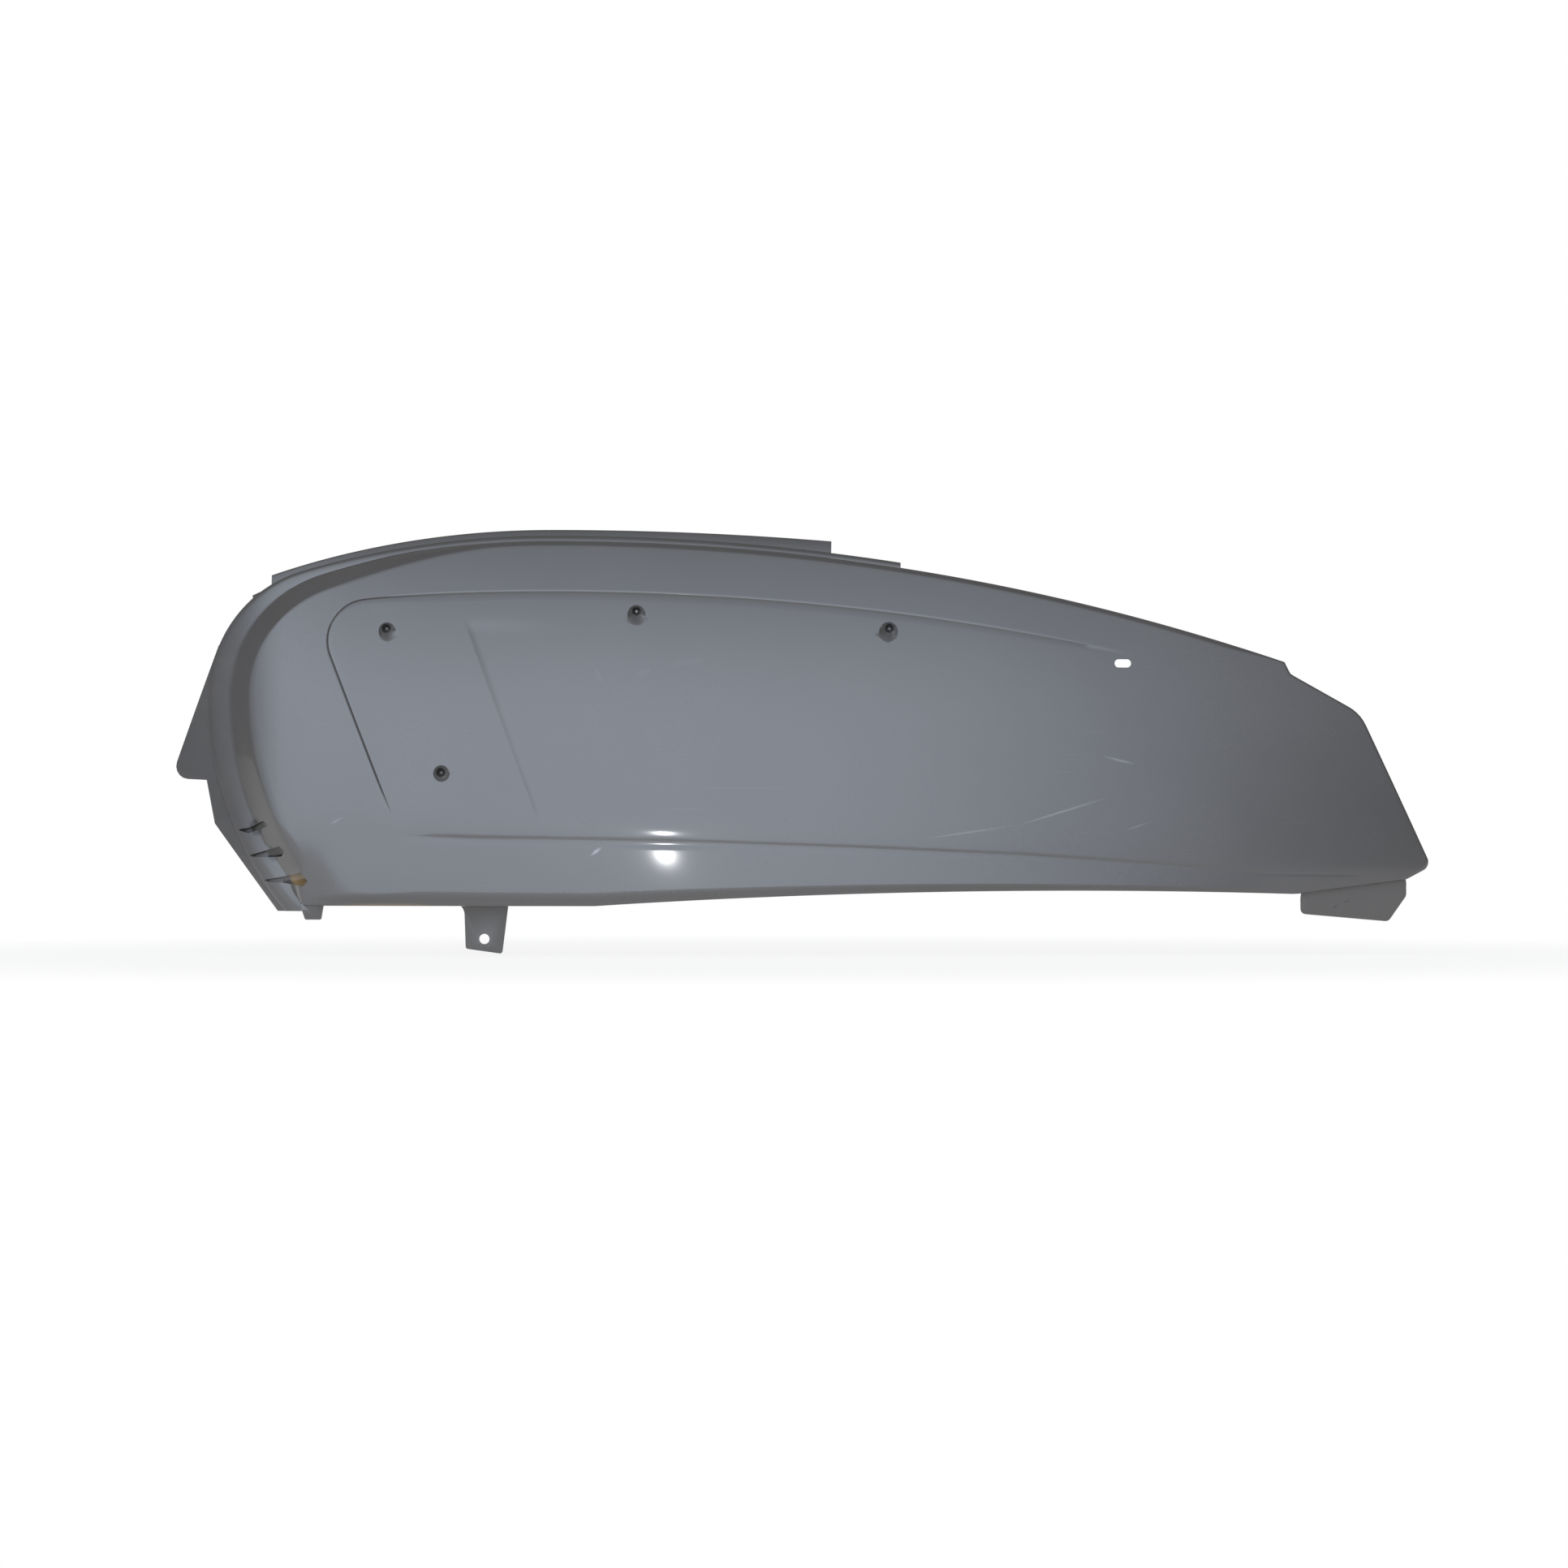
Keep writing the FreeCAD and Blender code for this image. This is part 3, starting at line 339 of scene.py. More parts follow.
def lay_out(step, plan):
    sill_start, sill_field = edge.near(lean_x(18), 18), edge.near(47, 18)
    tail_seat, tail_heel = edge.near(*SEAT_END), edge.near(*HEEL_SIDE)
    heel, shoulder = edge.near(502.6, 32), edge.near(481, 116)
    low = face_point(sill_start, step)
    seat = Guide([(low.x, low.y), *[tuple(point) for point in seat_corner], *seat_top_line.points,
                  face_point(tail_seat, step)])
    outer_keys = [0, *[edge.near(*outer) for outer, _ in PAIRS], shoulder]
    inner_keys = [0, *[seat.near(*inner) for _, inner in PAIRS], seat.length]
    outer_marks, inner_marks, stops = [0], [0], [0]
    for index in range(len(outer_keys) - 1):
        run = max(outer_keys[index + 1] - outer_keys[index], inner_keys[index + 1] - inner_keys[index])
        size = FINE if index < CORNER_KEY else COARSE
        count = plan.setdefault(index, max(1, math.ceil(run / size)))
        for part in shares(count)[1:]:
            outer_marks.append(outer_keys[index] + (outer_keys[index + 1] - outer_keys[index]) * part)
            inner_marks.append(inner_keys[index] + (inner_keys[index + 1] - inner_keys[index]) * part)
        stops.append(len(outer_marks) - 1)
    at_crease, at_corner, at_field = stops[CREASE_KEY], stops[CORNER_KEY], stops[FIELD_KEY]
    outer_line = [face_point(mark, step) for mark in outer_marks]
    seat_line = [seat.at(mark) for mark in inner_marks]
    band = []
    widths = [(outer - inner).length for outer, inner in zip(outer_line, seat_line)]
    for row in range(len(SEAT_STEP) + BAND_ROWS):
        line = []
        for outer, inner, width in zip(outer_line, seat_line, widths):
            if row < len(SEAT_STEP):
                away = SEAT_STEP[row]
            else:
                outside = row - len(SEAT_STEP) + 1
                away = SEAT_STEP[-1] + (width - SEAT_STEP[-1]) * outside / BAND_ROWS
            line.append(inner.lerp(outer, away / width))
        band.append(line)
    left_low, left_high = seat_line[:at_crease + 1], seat_line[at_crease:at_corner + 1]
    field_top, rest_top = seat_line[at_corner:at_field + 1], seat_line[at_field:]
    crease_field = crease.near(field_x(52.9), 52.9)
    field_parts = plan.setdefault("field", spread(inner_marks[at_corner:at_field + 1]))
    rest_parts = plan.setdefault("rest", spread(inner_marks[at_field:]))
    field_bottom = between(crease, 0, crease_field, field_parts)
    rest_bottom = between(crease, crease_field, crease.length, rest_parts)
    rest_bottom[-1] = face_point(tail_heel, step)
    field_right = [field_bottom[-1].lerp(field_top[-1], part) for part in shares(len(left_high) - 1)]
    tail_marks = [tail_heel + (tail_seat - tail_heel) * part for part in shares(len(left_high) - 1)]
    tail_side = [face_point(mark, step) for mark in tail_marks]
    sill_front = [sill_start + (sill_field - sill_start) * part for part in field_parts]
    sill_rest = [sill_field + (heel - sill_field) * part for part in rest_parts]
    front_sill = [face_point(mark, step) for mark in sill_front]
    rest_sill = [face_point(mark, step) for mark in sill_rest]
    low_right = [front_sill[-1].lerp(field_bottom[-1], part) for part in shares(len(left_low) - 1)]
    heel_marks = [heel + (tail_heel - heel) * part for part in shares(len(left_low) - 1)]
    heel_side = [face_point(mark, step) for mark in heel_marks]
    blocks = {"band": band, "field": coons(field_bottom, field_top, left_high, field_right),
              "rest": coons(rest_bottom, rest_top, field_right, tail_side),
              "front_low": coons(front_sill, field_bottom, left_low, low_right),
              "rest_low": coons(rest_sill, rest_bottom, low_right, heel_side)}
    band_end = plan.setdefault("end", [edge.near(*row[-1]) for row in reversed(band)])
    band_start = plan.setdefault("start", [edge.near(*row[0]) for row in band])
    band_end[0], band_end[-1], band_start[0], band_start[-1] = shoulder, tail_seat, sill_start, edge.length
    border = [*outer_marks, *band_end[1:], *reversed(tail_marks[:-1]), *reversed(heel_marks[:-1]),
              *reversed(sill_rest[:-1]), *reversed(sill_front[:-1]), *band_start[1:]]
    for row, mark in zip(reversed(band), band_end):
        row[-1] = face_point(mark, step)
    for row, mark in zip(band, band_start):
        row[0] = face_point(mark, step)
    return blocks, border


plan = {}
blocks, border = lay_out(0, plan)
print({name: (len(rows), len(rows[0])) for name, rows in blocks.items()}, len(border), "edge points")

# %% [markdown]
# ## Steps in the outer face
# The seat is under a millimetre deep at the nose and fades out towards the tail, with a hair line at its foot.
# The second leaning line is a smaller step, and the crease a fine groove, drawn by pushing in the one row of
# points that the blocks share there. A sculpt brush or a bump map could fake them, but real steps are part of
# the mesh itself. Below the crease the skin swells out by about a millimetre, which catches the light.

# %% Depth of the seat and the swell
SWELL, SILL_FACE = 1.1, 19.2


def seat_depth(x, z):
    deep = 0.85 - 0.6 * (x + 94.6) / 519.6
    rear = 366 + 0.536 * (146 - z)
    low = 55 - 21 * (x + 45) / 470
    return max(deep, 0) * (1 - ease(rear - 130, rear, x)) * ease(low + 8, low + 34, z)


def swell(x, z):
    line = [(-160, 61), crease_start, *CREASE, HEEL_SIDE, (530, 34)]
    place = next(index for index in range(len(line) - 1) if x <= line[index + 1][0])
    (left, low), (right, high) = line[place:place + 2]
    top = low + (high - low) * (x - left) / (right - left)
    past = max(x - SILL_BEND[0], 0)
    rise = past * (SILL_REAR[1] - SILL_BEND[1]) / (SILL_REAR[0] - SILL_BEND[0])
    sill = SILL_FACE + rise + past * (SILL_REAR[0] - x) / (2 * SILL_RADIUS)
    down = max(top - z, 0) / (top - sill)
    return SWELL * down * (1 - ease(0.9, 1, down)) * ease(-95, -70, x) * (1 - ease(330, 440, x))


# %% Steps and grooves, row by row
HAIR_LINE, FIELD_STEP, GROOVE = 0.2, 0.4, 0.17


def outer_steps(block, row, rows, column, flat):
    if (block, row) in (("front_low", 0), ("rest_low", 0)) or (block, column) == ("band", 0):
        return 0.0
    deep = seat_depth(flat.x, flat.y) - swell(flat.x, flat.y)
    if block == "band":
        away = min(SEAT_STEP[min(row, len(SEAT_STEP) - 1)] / 1.4, 1)
        deep -= seat_depth(flat.x, flat.y) * ease(0, 1, away)
    seat_rows = (("band", 0), ("field", rows - 1), ("rest", rows - 1))
    if (block, row) in seat_rows or (block, column) == ("field", 0):
        deep += HAIR_LINE * ease(60, 72, flat.y) * (1 - ease(320, 356, flat.x))
    if block == "rest" and column > 0:
        fade = 1 - ease(4, 60, flat.x - field_x(flat.y))
        deep += FIELD_STEP * ease(62, 70, flat.y) * (1 - ease(166, 174, flat.y)) * fade
    if (block, row) in (("field", 0), ("rest", 0), ("front_low", rows - 1), ("rest_low", rows - 1)):
        deep += GROOVE * ease(-44, -15, flat.x) * (1 - ease(430, 480, flat.x))
    return deep


# %% Sew the skin
skin_mesh = bmesh.new()
for name, rows in blocks.items():
    placed = []
    for row, line in enumerate(rows):
        placed.append([on_skin(flat, outer_steps(name, row, len(rows), column, flat))
                       for column, flat in enumerate(line)])
    sheet(skin_mesh, placed)
sections = [edge_section(mark) for mark in border]
ring = []
for step in range(len(sections[0])):
    line = []
    for mark, section in zip(border, sections):
        inset, below = section[step]
        line.append(on_skin(edge.at(mark) - edge.outward(mark) * inset, below))
    ring.append(line)
sheet(skin_mesh, ring)
inner_blocks, _ = lay_out(-1, plan)
for rows in inner_blocks.values():
    sheet(skin_mesh, [[on_skin(flat, WALL) for flat in line] for line in rows])
bmesh.ops.remove_doubles(skin_mesh, verts=skin_mesh.verts, dist=0.03 * MM)
bmesh.ops.recalc_face_normals(skin_mesh, faces=skin_mesh.faces)
open_edges = [item for item in skin_mesh.edges if not item.is_manifold]
print("skin", len(skin_mesh.faces), "faces,", len(open_edges), "open edges")

# %% [markdown]
# ## Pieces that follow the skin
# The lip, the wing and the flanges are bars of one section that changes its width on the way. A bar is a grid
# as well: one direction runs along it, the other round its section, and the two ends are filled.


# %% Bar helper
additions = bpy.data.collections.new("additions")
cutters = bpy.data.collections.new("cutters")


def keep(name, mesh, group):
    bmesh.ops.recalc_face_normals(mesh, faces=mesh.faces)
    data = bpy.data.meshes.new(name)
    mesh.to_mesh(data)
    mesh.free()
    item = bpy.data.objects.new(name, data)
    group.objects.link(item)
    return item


def matched(first, second, pairs, step=3.0):
    firsts, seconds = [], []
    keys = [(first.near(*one), second.near(*two)) for one, two in pairs]
    for (start, begin), (finish, end) in zip(keys, keys[1:]):
        count = max(1, math.ceil(max(finish - start, end - begin) / step))
        parts = shares(count)[0 if not firsts else 1:]
        firsts += [first.at(start + (finish - start) * part) for part in parts]
        seconds += [second.at(begin + (end - begin) * part) for part in parts]
    return firsts, seconds


def bar(name, roots, tips, section):
    rows = []
    for share, aside, below in [*section, section[0]]:
        rows.append([on_skin(root + (tip - root) * share + (tip - root).normalized() * aside, below)
                     for root, tip in zip(roots, tips)])
    mesh = bmesh.new()
    sheet(mesh, rows)
    bmesh.ops.remove_doubles(mesh, verts=mesh.verts, dist=0.005 * MM)
    bmesh.ops.holes_fill(mesh, edges=[item for item in mesh.edges if item.is_boundary], sides=0)
    piece = keep(name, mesh, additions)
    print(name, len(piece.data.polygons), "faces")


# %% [markdown]
# ## Lip
# Round the nose and along the top a lip stands back from the skin, so that the next cover can lie over it. An
# extruded edge loop would do where its width is even. Here the width changes, so two guides, the root and the
# rim, are walked side by side, and the section is laid between them.

# %% Lip round the nose and along the top
root_line = Guide(front_arcs(15, 168.5, -72, 66.5, 489.4, 213, 226))
lip_line = Guide(front_arcs(15, 182, -82, 70, 486, 219.5, 226))
LIP_SECTION = [(0, 0, 8.3), (0.2, 0, 8.1), (0.45, 0, 7.9), (0.7, 0, 7.75), (0.86, 0, 7.9), (0.95, 0, 8.4),
               (1, 0, 9.3), (0.97, 0, 10.3), (0.9, 0, 10.8), (0.45, 0, 10.8), (0, 0, 10.8)]
lip_pairs = [(root_line.at(root_line.length * part), lip_line.at(lip_line.length * part))
             for part in (0, 1)]
for place in ((-152, 133), (-101.5, 200.2), (34, 219.5)):
    lip_pairs.insert(-1, (root_line.at(root_line.near(*place)), lip_line.at(lip_line.near(*place))))
bar("nose_lip", *matched(root_line, lip_line, lip_pairs), LIP_SECTION)

# %% [markdown]
# ## Wing and flanges
# Behind the lip a flat wing reaches forward, and a flange along the top: they slide behind the covers next to the
# panel. Both are plain plates with broken edges, so they share one section and differ only in their guides.

# %% Wing and lower flange
PLATE_SECTION = [(0, 0, 12), (0.5, 0, 12), (1, -0.9, 12), (1, -0.25, 12.25), (1, 0, 12.9), (1, 0, 13.9),
                 (1, -0.25, 14.55), (1, -0.9, 14.8), (0.5, 0, 14.8), (0, 0, 14.8)]
wing_tip = rounded((-153, 86.2), (-173.4, 87.2), (-147.1, 160), 7)
wing_line = Guide([(-113, 15), (-148.3, 62.5), (-153, 86.2), *wing_tip, (-147.1, 160)])
wing_pairs = [(root_line.at(0), (-113, 15)), ((-126.3, 62.5), (-148.3, 62.5)),
              ((-134.2, 86), (-153, 86.2)), ((-135, 88), wing_tip[0]), ((-137, 97), wing_tip[-1]),
              ((-135.1, 160), (-147.1, 160))]
bar("wing", *matched(root_line, wing_line, wing_pairs), PLATE_SECTION)

# %% Top flange
flange_line = Guide([(-128.5, 187.3), (-118, 192), (-118, 198.3),
                     *bow((-118, 198.3), (34, 222.8), 483.7)[1:], *bow((34, 222.8), (188.3, 216.5), 1892.8)[1:]])
flange_pairs = [((-128.5, 171.9), (-128.5, 187.3)), ((-119, 182), (-118, 192)),
                ((-118, 183), (-118, 198.3)), ((34, 215.1), (34, 222.8)), ((188.3, 205.7), (188.3, 216.5))]
bar("top_flange", *matched(root_line, flange_line, flange_pairs), PLATE_SECTION)

# %% [markdown]
# ## Rear tab
# Under the tail hangs a tab with a small folded lip, which hooks onto the scooter. The bar helper draws it as well:
# its rim is a rounded outline, and its roots lie along the bottom edge. They are spread out, because roots that
# all met in one point would make a shape that the Boolean can't join.

# %% Rear tab with its lip
TAB_PARTS, TAB_LIP_PARTS = 60, 16
tab_rim = Guide([(443.8, 22), *rounded((443.8, 22), (443.8, 13.2), (492.8, 8.8), 3),
                 *rounded((443.8, 13.2), (492.8, 8.8), (502.8, 22.8), 3),
                 *rounded((492.8, 8.8), (502.8, 22.8), (502.8, 30), 3), (502.8, 29)])
rim_points = [tab_rim.at(tab_rim.length * part) for part in shares(TAB_PARTS)]
TAB_SECTION = [(0, 0, 3.5), (0.5, 0, 3.5), (1, -0.7, 3.5), (1, -0.2, 3.7), (1, 0, 4.2), (1, 0, 5.6),
               (1, -0.7, 6.3), (0.5, 0, 6.3), (0, 0, 6.3)]
root_points = [Vector((444.3 + 58 * part, 25.7 + 7.5 * part)) for part in shares(TAB_PARTS)]
bar("rear_tab", root_points, rim_points, TAB_SECTION)
TAB_LIP_SECTION = [(0, 0, 5), (1, -0.3, 5), (1, 0, 5.3), (1, 0, 9.6), (1, -0.4, 10), (0.2, 0, 10), (0, 0, 9.6)]
lip_points = [Vector((446.8 + 43 * part, 13.2 - 4.4 * (3 + 43 * part) / 49)) for part in shares(TAB_LIP_PARTS)]
lip_roots = [point + Vector((0, 3)) for point in lip_points]
lip_tips = [point + Vector((0, 0.25)) for point in lip_points]
bar("rear_tab_lip", lip_roots, lip_tips, TAB_LIP_SECTION)

# %% [markdown]
# ## Tabs, bosses and ribs
# The fixing tab hangs under the bottom edge on a short web, and a hook sits near the chin. Behind each trim
# screw stands a boss, the upper ones with a rib. These are flat or round, so a drawn outline that is extruded,
# a cube and a cone are enough, and the extruded outlines get their edges broken by a bevel as on any moulding.

# %% Plates and blocks
BREAK_ANGLE = 0.9


def plate(name, corners, start, depth, edge_break=0.35, group=additions, ground=None):
    mesh = bmesh.new()
    drawn = [mesh.verts.new(Vector((x, start, z)) * MM) for x, z in corners]
    sides = [mesh.edges.new(pair) for pair in zip(drawn, [*drawn[1:], drawn[0]])]
    face = bmesh.ops.edgeloop_fill(mesh, edges=sides)["faces"]
    grown = bmesh.ops.extrude_face_region(mesh, geom=face)["geom"]
    moved = [item for item in grown if isinstance(item, bmesh.types.BMVert)]
    bmesh.ops.translate(mesh, verts=moved, vec=Vector((0, depth, 0)) * MM)
    if ground:
        for vert in moved:
            vert.co.y = ground(vert.co.x / MM, vert.co.z / MM) * MM
        bmesh.ops.triangulate(mesh, faces=mesh.faces)
    if edge_break:
        sharp = [item for item in mesh.edges if item.is_manifold and item.calc_face_angle() > BREAK_ANGLE]
        bmesh.ops.bevel(mesh, geom=sharp, offset=edge_break * MM, offset_type="OFFSET", segments=2,
                        profile=0.5, affect="EDGES", material=-1)
    keep(name, mesh, group)


def block(name, place, group):
    mesh = bmesh.new()
    for vert in bmesh.ops.create_cube(mesh, size=2)["verts"]:
        vert.co = Vector(place(*(round(value) > 0 for value in vert.co))) * MM
    keep(name, mesh, group)


INTO_WALL = 1.6


def peg(name, x, z, radius, start, finish, group, stretch=0.0, wider=0.0, hug=False):
    mesh = bmesh.new()
    made = bmesh.ops.create_cone(mesh, cap_ends=True, segments=40, radius1=radius * MM,
                                 radius2=(radius + wider) * MM, depth=(finish - start) * MM)["verts"]
    bmesh.ops.rotate(mesh, verts=made, cent=(0, 0, 0), matrix=Matrix.Rotation(math.pi / 2, 3, "X"))
    for vert in made:
        vert.co.x += math.copysign(stretch * MM, vert.co.x) if abs(vert.co.x) > 1e-6 else 0
    bmesh.ops.translate(mesh, verts=made, vec=Vector((x, (start + finish) / 2, z)) * MM)
    for vert in made:
        if hug and vert.co.y < (start + 0.1) * MM:
            vert.co.y = (skin_depth(vert.co.x / MM, vert.co.z / MM) + INTO_WALL) * MM
    keep(name, mesh, group)


# %% Fixing tab and hook
tab_corners = [(13.2, 19.8), *rounded((13.2, 19.8), (9.7, -8.1), (-10.2, -5.3), 1.5, 5),
               *rounded((9.7, -8.1), (-10.2, -5.3), (-10.8, 13), 1.5, 5), *arc((-17.6, 13), 6.8, 0, 90, 1.2)]
plate("fixing_tab", [tuple(corner) for corner in tab_corners], 0, WALL)


def web_corner(right, deep, high):
    return 13.8 if right else -17.1, 2.4 if deep else -9, 21.2 if high else 18.4


block("tab_web", web_corner, additions)
plate("hook", [(-100.3, 19.4), (-86.9, 19.4), (-88.4, 10.4), (-97.3, 10.4)], skin_depth(-94, 15) + 3, 6, 0.8)
print("fixing tab with", len(tab_corners), "corners")

# %% Bosses, ribs and screw holes
SCREWS = [(-53.7, 168.5, True), (82.3, 177.8, True), (219.6, 168.5, True), (-23.3, 90.2, False)]
for number, (x, z, ribbed) in enumerate(SCREWS):
    front = skin_depth(x, z)
    peg(f"boss_{number}", x, z, 7.2, front + 2, front + 9.5, additions, hug=True)
    peg(f"sink_{number}", x, z, 2.5, front - 2.5, front + 2.6, cutters, wider=5.3)
    peg(f"screw_hole_{number}", x, z, 0.5, front + 2.4, front + 8.6, cutters, wider=2.05)
    if ribbed:
        top = z + 22

        def rib_corner(right, deep, high):
            end = top if high else z
            inner = skin_depth(x, top) + 3.4 if high else front + 8.5
            return x + (1 if right else -1), inner if deep else skin_depth(x, end) + 2, end

        block(f"rib_{number}", rib_corner, additions)
peg("trim_slot", 346.7, 149.6, 2.25, -10, 60, cutters, 2.25)
peg("fixing_hole", 0, 0, 2.75, -20, 20, cutters)
print(len(SCREWS), "bosses with screw holes")

# %% [markdown]
# ## Gills
# Three gills at the chin are slits in the lip that widen to the right into small openings. Cut straight through
# they would show the light behind, so each gets a slanted back that lies just behind the slope, and the cutter
# stops inside it. Its deep end isn't flat, so its faces are made triangles before the Boolean.

# %% Gills at the chin
GILLS = [[(-120.4, 31.1), (-110, 30.4), (-98, 28.6), (-95.7, 31.4), (-99.5, 36), (-110, 33.6),
          (-120.4, 31.9)],
         [(-128.4, 44.5), (-118.5, 44.2), (-110.5, 44.6), (-108.4, 47.5), (-111.5, 50.2), (-118.5, 48),
          (-128.4, 45.3)],
         [(-134, 58.6), (-128.7, 57.3), (-118.6, 60.8), (-118.2, 62.4), (-121, 63.8), (-128, 60.4),
          (-134, 59.4)]]
LEAN, ABOVE, BELOW, THICK, FLOOR, PAST_LIP = 0.43, 7.5, 4.8, 6, 3, 11.1
IN_FRONT, THROUGH = -60, 120
gill_floors = []
for number, corners in enumerate(GILLS):
    low, right = corners[0][1], max(x for x, _ in corners) + 3
    left = CHIN_X + 0.5 - math.sqrt(CHIN_RADIUS ** 2 - (NOSE_Z - 2 - low) ** 2)
    begin, end = skin_depth(left, low) + 11.4, skin_depth(right, low) + 4.4

    def back(x, z):
        return begin + (end - begin) * (x - left) / (right - left) - LEAN * (z - low)

    def back_corner(beyond, deep, high):
        x, z = right if beyond else left, low + (ABOVE if high else -BELOW)
        return x, back(x, z) + (THICK if deep else 0), z

    def gill_depth(x, z):
        return min(back(x, z) + FLOOR, skin_depth(x, z) + PAST_LIP)

    block(f"gill_back_{number}", back_corner, additions)
    plate(f"gill_{number}", corners, IN_FRONT, THROUGH, 0, cutters, gill_depth)
    # A spot on each gill floor is kept for the finish, which paints shade onto the two upper ones and tan onto the
    # lowest.
    gill_floors.append(Vector((right - 8, gill_depth(right - 8, low + 2), low + 2)) * MM)

# %% [markdown]
# ## One moulding
# The real panel comes out of one mould, so the pieces become one closed body. Each addition gets its own Boolean,
# and then each cutter: one after the other they always meet a closed body. The result is kept as a plain mesh,
# with an attribute that is 1 on the outer side, where scratches and wiped marks belong.

# %% Join and cut
SHARP_ANGLE = 34


def settled(item, modifiers):
    for kind, group in modifiers:
        for other in group.objects:
            modifier = item.modifiers.new(other.name, "BOOLEAN")
            modifier.operation = kind
            modifier.solver = "EXACT"
            modifier.object = other
    data = bpy.data.meshes.new_from_object(item.evaluated_get(bpy.context.evaluated_depsgraph_get()))
    item.modifiers.clear()
    item.data = data


for group in (additions, cutters):
    bpy.context.scene.collection.children.link(group)
panel = keep("panel_moulding", skin_mesh, bpy.context.scene.collection)
bpy.context.view_layer.update()
settled(panel, [("UNION", additions), ("DIFFERENCE", cutters)])
for group in (additions, cutters):
    for item in list(group.objects):
        bpy.data.objects.remove(item)
    bpy.data.collections.remove(group)
panel.data.shade_smooth()
panel.data.set_sharp_from_angle(angle=math.radians(SHARP_ANGLE))
closed = bmesh.new()
closed.from_mesh(panel.data)
print("panel", len(closed.faces), "faces,", sum(not item.is_manifold for item in closed.edges),
      "open edges,", round(closed.calc_volume() * 1e6), "cm3")
closed.free()

# %% Mark the outer side and place the panel
OUTER_DEPTH = 1.5
outer_side = panel.data.attributes.new("outer_side", "FLOAT", "POINT")
for vert, value in zip(panel.data.vertices, outer_side.data):
    value.value = float(vert.co.y / MM - skin_depth(vert.co.x / MM, vert.co.z / MM) < OUTER_DEPTH)
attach(panel, "root")
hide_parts("side_panel")
print("outer side", sum(item.value > 0.5 for item in outer_side.data), "of", len(outer_side.data), "points")

# %% [markdown]
# ## Finish of the plastic
# Moulded gloss plastic is one colour all through. What the eye reads as plastic is the slightly uneven gloss:
# a faint orange peel, hair scratches, wiped dust and a few scuffs. All of it is drawn with nodes that read the
# object's own coordinates, written as sums with a small class that turns Python operators into Math nodes.


# %% Sums with sockets
class Wire:
    def __init__(self, tree, socket):
        self.tree, self.socket = tree, socket

    def node(self, kind, output=0, settings=None, **values):
        made = self.tree.nodes.new(kind)
        for name, value in (settings or {}).items():
            setattr(made, name, value)
        for name, value in values.items():
            counted = name[0] == "i" and name[1:].isdigit()
            place = made.inputs[int(name[1:]) if counted else name.replace("_", " ")]
            if isinstance(value, Wire):
                self.tree.links.new(value.socket, place)
            else:
                place.default_value = value
        return Wire(self.tree, made.outputs[output])

    def sum(self, operation, first, second):
        return self.node("ShaderNodeMath", settings={"operation": operation}, i0=first, i1=second)

    def __add__(self, other):
        return self.sum("ADD", self, other)

    def __radd__(self, other):
        return self.sum("ADD", other, self)

    def __sub__(self, other):
        return self.sum("SUBTRACT", self, other)

    def __rsub__(self, other):
        return self.sum("SUBTRACT", other, self)

    def __mul__(self, other):
        return self.sum("MULTIPLY", self, other)

    def __rmul__(self, other):
        return self.sum("MULTIPLY", other, self)

    def ramp(self, low, high):
        return self.node("ShaderNodeMapRange", settings={"interpolation_type": "SMOOTHSTEP"}, Value=self,
                         From_Min=low, From_Max=high)

    def tint(self, share, other):
        return self.node("ShaderNodeMix", output=2, settings={"data_type": "RGBA"}, i0=share, i6=self,
                         i7=other)


# %% Gloss grey plastic
finish = bpy.data.materials.new("gloss_grey_plastic")
finish.use_nodes = True
tree = finish.node_tree
shader = tree.nodes["Principled BSDF"]
start = Wire(tree, tree.nodes.new("ShaderNodeTexCoord").outputs["Object"])
GREY, PALE, DUSTY = (0.080, 0.073, 0.067, 1), (0.089, 0.081, 0.075, 1), (0.16, 0.14, 0.108, 1)
clouds = start.node("ShaderNodeTexNoise", Vector=start, Scale=9.0, Detail=3.0, Roughness=0.55)
clouds = clouds.ramp(0.35, 0.7)
grime = start.node("ShaderNodeTexNoise", Vector=start, Scale=30.0, Detail=6.0, Roughness=0.7)
grime = grime.ramp(0.45, 0.85)
along = start.node("ShaderNodeSeparateXYZ", Vector=start)
plain = start.node("ShaderNodeMix", output=2, settings={"data_type": "RGBA"}, i0=clouds, i6=GREY, i7=PALE)
nose = 1.0 - along.ramp(-0.142, -0.108)
dusted = plain.tint(grime * (0.03 + 0.25 * nose), DUSTY)


# %% Scratches, wiped marks, nicks, a brown edge line and painted shade in the gills
def hairs(turn, stretch, low, high):
    laid = start.node("ShaderNodeMapping", Vector=start, Rotation=(0, turn, 0), Scale=(stretch, 0.5, 700))
    return start.node("ShaderNodeTexNoise", Vector=laid, Scale=1.0, Detail=2.0, Roughness=0.5).ramp(low, high)


def smudge(x, z, long, wide, turn, share):
    laid = start.node("ShaderNodeMapping", settings={"vector_type": "TEXTURE"}, Vector=start,
                      Location=(x * MM, 0, z * MM), Rotation=(0, -math.radians(turn), 0),
                      Scale=(long * MM, 1000, wide * MM))
    reach = start.node("ShaderNodeVectorMath", output=1, settings={"operation": "LENGTH"}, i0=laid)
    return (1.0 - reach.ramp(0.1, 1)) * share


